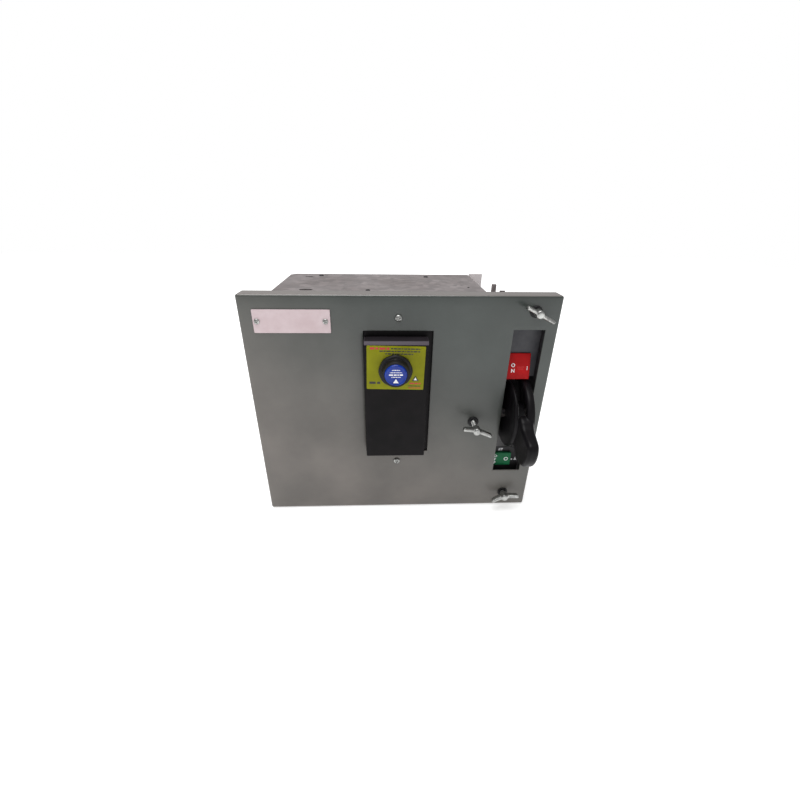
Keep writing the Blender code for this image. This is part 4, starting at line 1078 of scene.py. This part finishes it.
def handle_parts():
    """The handle's shapes before they are melted together, about its own axis: a domed cheek and
    hub turned about x, an arch whose section follows an arc, two ribs along radii, and a grip whose
    outline in (y, z) is carried across x with its rims rounded and its right flank sloping in
    forwards."""
    _, cy, cz = HANDLE_AXIS
    x0, x1 = 343.0, 368.5
    across = np.array([[1.0, 0.0, 0.0]])
    cheek = [
        (0, x0 + 0.6), (30, x0), (45, x0 + 0.4), (47.8, x0 + 2.4), (47.8, x0 + 4.6), (45, x0 + 6.4),
        (17.5, x0 + 6.6), (16, x0 + 9), (16, x1 - 1), (14.5, x1), (0, x1),
    ]
    parts = [turned((0, cy, cz), "X", rounded(cheek, 2.0, 4), 160)]
    arch_points, arch_radius = 90, 50.0
    a = np.radians(np.linspace(-42.0, 150.0, arch_points))
    row = np.arange(arch_points)
    ends = np.clip(np.minimum(row, row[::-1]) / 4.0, 0.0, 1.0)
    swell = np.sqrt(1.0 - (1.0 - ends) ** 2)
    radial = np.column_stack([np.zeros(arch_points), -np.cos(a), np.sin(a)])
    path = np.array([[363.2, cy, cz]]) + radial * arch_radius
    parts.append(swept(path, across, radial, 5.3 * swell, 5.0 * swell, 3.2, 36))
    run = np.linspace(8.0, arch_radius, 16)
    for angle, wide in ((115.0, 8.0), (-36.0, 10.0)):
        b = math.radians(angle)
        out = np.array([0.0, -math.cos(b), math.sin(b)])
        side = np.array([0.0, math.sin(b), math.cos(b)])
        path = np.array([[357.0, cy, cz]]) + out * run[:, None]
        fat = np.full(len(run), wide / 2.0)
        parts.append(swept(path, across, side, np.full(len(run), 10.8), fat, 4.0, 24))
    outline = np.array(
        [
            (-38, 20), (-38, -27), (-52, -33), (-62, -38), (-76, -38), (-84.6, -32), (-92, -21),
            (-94.5, -10), (-92.6, -1), (-88, 4), (-72, 7), (-60, 10), (-52, 18),
        ]
    )
    grip = smooth_loop(outline + np.array([cy, cz]))
    points, faces = slab(grip, "X", x0 + 4.5, x1 - 1.5, 5.0, 7)
    slope = 0.105 * np.clip(-30.0 - points[:, 1], 0.0, 60.0)
    points[:, 0] -= slope * np.clip((points[:, 0] - 350.0) / 17.0, 0.0, 1.0)
    parts.append((points, faces))
    return parts


class SWITCHUNIT_OT_handle(bpy.types.Operator):
    """Black loop handle"""

    bl_idname = "switch_unit.handle"
    bl_label = "Handle"

    def execute(self, context):
        loop = make("loop_handle", handle_parts(), "phenolic", "handle", ["operating_handle"])
        modify(
            loop, "REMESH", "melt", mode="VOXEL", voxel_size=UNIT().handle_voxel,
            use_smooth_shade=True,
        )
        modify(loop, "SMOOTH", "soften", factor=0.5, iterations=6)
        applied(loop)
        loop.data.shade_smooth()
        return {"FINISHED"}


def wing_parts(x, z, front, tilt):
    """Hub turned about y and two wings swept out from it at the tilt, each a flattened superellipse
    that leans forward towards a round tip."""
    hub = [(0, 0), (3.2, 0.1), (4.9, 1.0), (5.25, 3), (5.25, 11.5), (4.2, 13.8), (0, 14.0)]
    parts = [turned((x, front, z), "Y", rounded(hub, 0.8, 4), 40)]
    forward = np.array([[0.0, 1.0, 0.0]])
    t = np.linspace(0.0, 1.0, 30)
    reach = 2.0 + t * 18.3
    lean = front + 6.4 - 5.4 * t**1.3
    tip = np.sqrt(np.clip(1.0 - np.clip((t - 0.9) / 0.1, 0, 1) ** 2, 0.0, 1.0))
    tip = np.maximum(tip, 0.05)
    wide = (4.9 - 0.9 * t + 0.8 * np.clip(t - 0.5, 0, 1)) * tip
    thick = (2.9 - 0.5 * t) * tip
    for turn in (tilt, tilt + 180.0):
        b = math.radians(turn)
        out = np.array([math.cos(b), 0.0, math.sin(b)])
        side = np.array([-math.sin(b), 0.0, math.cos(b)])
        path = np.array([[x, 0.0, z]]) + out * reach[:, None] + forward * lean[:, None]
        parts.append(swept(path, forward, side, wide, thick, 2.8, 24))
    return parts


class SWITCHUNIT_OT_wing_screws(bpy.types.Operator):
    """Three zinc wing screws with threads and their black grommets"""

    bl_idname = "switch_unit.wing_screws"
    bl_label = "Wing screws"

    def execute(self, context):
        pitch = UNIT().thread_pitch / MM
        ring = rounded(
            [
                (3.7, 0.5), (3.7, -2.0), (6.8, -2.0), (7.5, -1.3), (7.5, -0.3), (4.7, -0.3),
                (4.7, 1.8), (3.7, 1.8), (3.7, 0.5),
            ],
            0.5, 3,
        )
        for name, (x, z, front, tilt) in SCREWS.items():
            body = f"{name}_wing_screw"
            parts = wing_parts(x, z, front, tilt)
            head = make(f"wing_head_{name}", parts, "zinc", body, [f"wing_screw_{name}"])
            modify(
                head, "REMESH", "cast", mode="VOXEL", voxel_size=0.32 * MM, use_smooth_shade=True
            )
            modify(head, "SMOOTH", "tumbled", factor=0.5, iterations=3)
            applied(head)
            head.data.shade_smooth()
            thread = threaded((x, 0, z), front + 13.5, front + 50.0, 3.175, pitch, 0.7)
            make(f"screw_thread_{name}", [thread], "zinc", body, (), 50.0)
            grommet = turned((x, 0, z), "Y", ring, 40)
            make(f"grommet_{name}", [grommet], "nylon", "door", [f"door_grommet_{name}"])
        return {"FINISHED"}


# Nodes that keep their own mesh and get a finish
CARRIED = {
    "galvanised": [
        "top_panel", "bottom_panel", "left_side_panel", "right_side_panel", "back_panel",
    ],
    "zinc": [
        "catch_bracket", "door_hinge_upper", "door_hinge_lower", "pan_hinge_upper",
        "pan_hinge_lower", "weld_nut_top", "weld_nut_middle", "weld_nut_bottom", "drive_link",
    ],
    "oxide": [
        "handle_shaft", "crossbar_crank", "retaining_ring_top", "retaining_ring_middle",
        "retaining_ring_bottom",
    ],
    "board": ["rear_barrier"],
    "brown": ["stab_housing", "switch_base", "crossbar"],
    "copper": [
        "power_stab_1", "power_stab_2", "power_stab_3", "line_jaw_1", "line_jaw_2", "line_jaw_3",
        "load_terminal_1", "load_terminal_2", "load_terminal_3", "moving_blade_1", "moving_blade_2",
        "moving_blade_3",
    ],
    "nylon": ["contact_block"],
}


class SWITCHUNIT_OT_pan_and_works(bpy.types.Operator):
    """Finishes of the pan, frame, disconnect and drive, with hole plugs, weld marks and screws"""

    bl_idname = "switch_unit.pan_and_works"
    bl_label = "Pan and works"

    def execute(self, context):
        for key, nodes in CARRIED.items():
            for node in nodes:
                repaint(node, key)
        self.paint_shade_in_frame()
        self.plugs()
        self.welds()
        self.barrier_screws()
        return {"FINISHED"}

    def paint_shade_in_frame(self):
        """The frame is bare galvanised steel. Below its ears and inside its right plate, where the
        slot lies in shade, it is drawn black as painted shade; the outside stays bare.
        """
        ear_foot, right_plate, inner_face = 288.0, 377.0, 376.0
        mesh = repaint("mechanism_frame", "galvanised")
        mesh.materials.append(material("painted_shade_black"))
        centres = np.zeros(len(mesh.polygons) * 3)
        mesh.polygons.foreach_get("center", centres)
        x, _, z = (centres.reshape(-1, 3) / MM - TO_FRAME).T
        # Painted shade: faces below the ears and on the right plate's inner face get the black
        # finish.
        dark = (z < ear_foot) & (x < right_plate) | (np.abs(x - inner_face) < 0.2)
        mesh.polygons.foreach_set("material_index", dark.astype(np.int32))

    def plugs(self):
        """Hole plugs in the pan's top: low domes turned about z, at (x, y) with a radius each."""
        places = ((75.5, 178.0, 3.9), (152.0, 68.0, 3.4), (240.0, 172.0, 4.0), (292.0, 91.0, 1.8))
        parts = []
        for x, y, r in places:
            dome = [(0, r * 0.3), (r * 0.7, r * 0.27), (r, 0.1), (r, -0.6), (0, -0.6)]
            parts.append(turned((x, y, PAN_TOP), "Z", rounded(dome, 0.6, 4), 32))
        make("hole_plugs", parts, "nylon", "pan")

    def welds(self):
        """Spot welds: shallow rings 0.1 mm proud of the left panel, turned about x, along its
        folds."""
        ring = np.array([(0, 0.02), (1.6, 0.02), (2.4, 0.12), (3.0, 0.02), (3.1, -0.4), (0, -0.4)])
        ring[:, 1] *= -1.0
        parts = [
            turned((PAN_LEFT, y, z), "X", ring, 24)
            for z in (30.0, 92.0, 154.0, 216.0, 278.0)
            for y in (46.0, 178.0)
        ]
        make("spot_welds_left", parts, "galvanised", "pan")

    def barrier_screws(self):
        """Pan heads at the barrier's corners, each a dome with a cross recess, facing back."""
        parts = []
        for x, z in ((70.0, 30.0), (70.0, 300.0), (300.0, 30.0), (300.0, 300.0), (188.0, 245.0)):
            points, faces = screw_head(x, z, 0.0, 4.2, 2.4, 25.0 + x)
            points[:, 1] = BARRIER_BACK - points[:, 1]
            parts.append((points, faces))
        make("barrier_screws", parts, "zinc", "pan")


class SWITCHUNIT_OT_stage(bpy.types.Operator):
    """Pale floor, soft lights and the camera"""

    bl_idname = "switch_unit.stage"
    bl_label = "Stage"

    def execute(self, context):
        half, below = 3000.0, -1.05
        s = np.linspace(-half, half, 13)
        gx, gy = np.meshgrid(s - TO_FRAME[0], s, indexing="ij")
        floor = grid(np.stack([gx, gy, np.full_like(gx, below)], axis=-1))
        make("floor", [floor], "floor", None)
        self.light("key", (-0.25, -0.25, 1.9), 1.5, STUDIO().key_power)
        self.light("fill", (0.8, -1.35, 0.55), 1.2, STUDIO().fill_power)
        world = bpy.data.worlds.new("surround")
        bpy.context.scene.world = world
        world.use_nodes = True
        tree = world.node_tree
        tree.nodes["Background"].inputs["Color"].default_value = linear("#ffffff")
        seen = add(tree, "ShaderNodeLightPath")
        add(
            tree, "ShaderNodeMapRange", [("Value", seen, "Is Camera Ray")],
            [("Result", tree.nodes["Background"], "Strength")],
            To_Min=STUDIO().world, To_Max=1.0,
        )
        self.camera()
        bpy.context.scene.view_settings.view_transform = "Standard"
        return {"FINISHED"}

    def light(self, name, where, size, power):
        """Soft disc aimed at a point 150 mm above the floor's middle."""
        data = bpy.data.lights.new(name, "AREA")
        data.shape = "DISK"
        data.size = size
        data.energy = power
        lamp = bpy.data.objects.new(name, data)
        bpy.context.scene.collection.objects.link(lamp)
        lamp.location = where
        aim = Vector(where) - Vector((0, 0, 0.15))
        lamp.rotation_euler = aim.to_track_quat("Z", "Y").to_euler()

    def camera(self):
        """The view looks 27 degrees down and a little to the right, with under a degree of roll."""
        yaw, pitch, roll = (math.radians(v) for v in (2.74, 27.24, 0.91))
        ahead = np.array(
            [math.sin(yaw) * math.cos(pitch), math.cos(yaw) * math.cos(pitch), -math.sin(pitch)]
        )
        right = np.array([math.cos(yaw), -math.sin(yaw), 0.0])
        up = np.cross(right, ahead)
        side = math.cos(roll) * right + math.sin(roll) * up
        rise = -math.sin(roll) * right + math.cos(roll) * up
        data = bpy.data.cameras.new("view")
        data.sensor_width = 36.0
        data.lens = STUDIO().lens
        data.clip_start = 0.01
        camera = bpy.data.objects.new("view", data)
        bpy.context.scene.collection.objects.link(camera)
        where = place([[172.0, -461.0, 422.0]])[0]
        camera.matrix_world = Matrix(
            (
                (side[0], rise[0], -ahead[0], where[0]),
                (side[1], rise[1], -ahead[1], where[1]),
                (side[2], rise[2], -ahead[2], where[2]),
                (0, 0, 0, 1),
            )
        )
        bpy.context.scene.camera = camera


class SWITCHUNIT_PT_panel(bpy.types.Panel):
    """Lists the unit's pieces"""

    bl_idname = "SWITCHUNIT_PT_panel"
    bl_label = "Switch unit"
    bl_space_type = "VIEW_3D"
    bl_region_type = "UI"
    bl_category = "Switch unit"

    def draw(self, context):
        for name in (
            "bend_radius", "sheet", "oil_can", "handle_voxel", "thread_pitch", "enamel_painted_shade",
            "enamel_painted_light",
        ):
            self.layout.prop(UNIT(), name)
        for name in ("lens", "key_power", "fill_power", "world"):
            self.layout.prop(STUDIO(), name)
        for operator in OPERATORS:
            self.layout.operator(operator.bl_idname)


OPERATORS = (
    SWITCHUNIT_OT_door,
    SWITCHUNIT_OT_nameplate,
    SWITCHUNIT_OT_pilot_device,
    SWITCHUNIT_OT_indicators,
    SWITCHUNIT_OT_handle,
    SWITCHUNIT_OT_wing_screws,
    SWITCHUNIT_OT_pan_and_works,
    SWITCHUNIT_OT_stage,
)
CLASSES = (SWITCHUNIT_PG_sizes, SWITCHUNIT_PG_studio, *OPERATORS, SWITCHUNIT_PT_panel)


def register():
    for cls in CLASSES:
        bpy.utils.register_class(cls)
    bpy.types.Scene.switch_unit_sizes = bpy.props.PointerProperty(type=SWITCHUNIT_PG_sizes)
    bpy.types.Scene.switch_unit_studio = bpy.props.PointerProperty(type=SWITCHUNIT_PG_studio)


def unregister():
    del bpy.types.Scene.switch_unit_sizes
    del bpy.types.Scene.switch_unit_studio
    for cls in reversed(CLASSES):
        bpy.utils.unregister_class(cls)


def main():
    register()
    bpy.ops.switch_unit.door()
    bpy.ops.switch_unit.nameplate()
    bpy.ops.switch_unit.pilot_device()
    bpy.ops.switch_unit.indicators()
    bpy.ops.switch_unit.handle()
    bpy.ops.switch_unit.wing_screws()
    bpy.ops.switch_unit.pan_and_works()
    bpy.ops.switch_unit.stage()


if __name__ == "__main__":
    main()
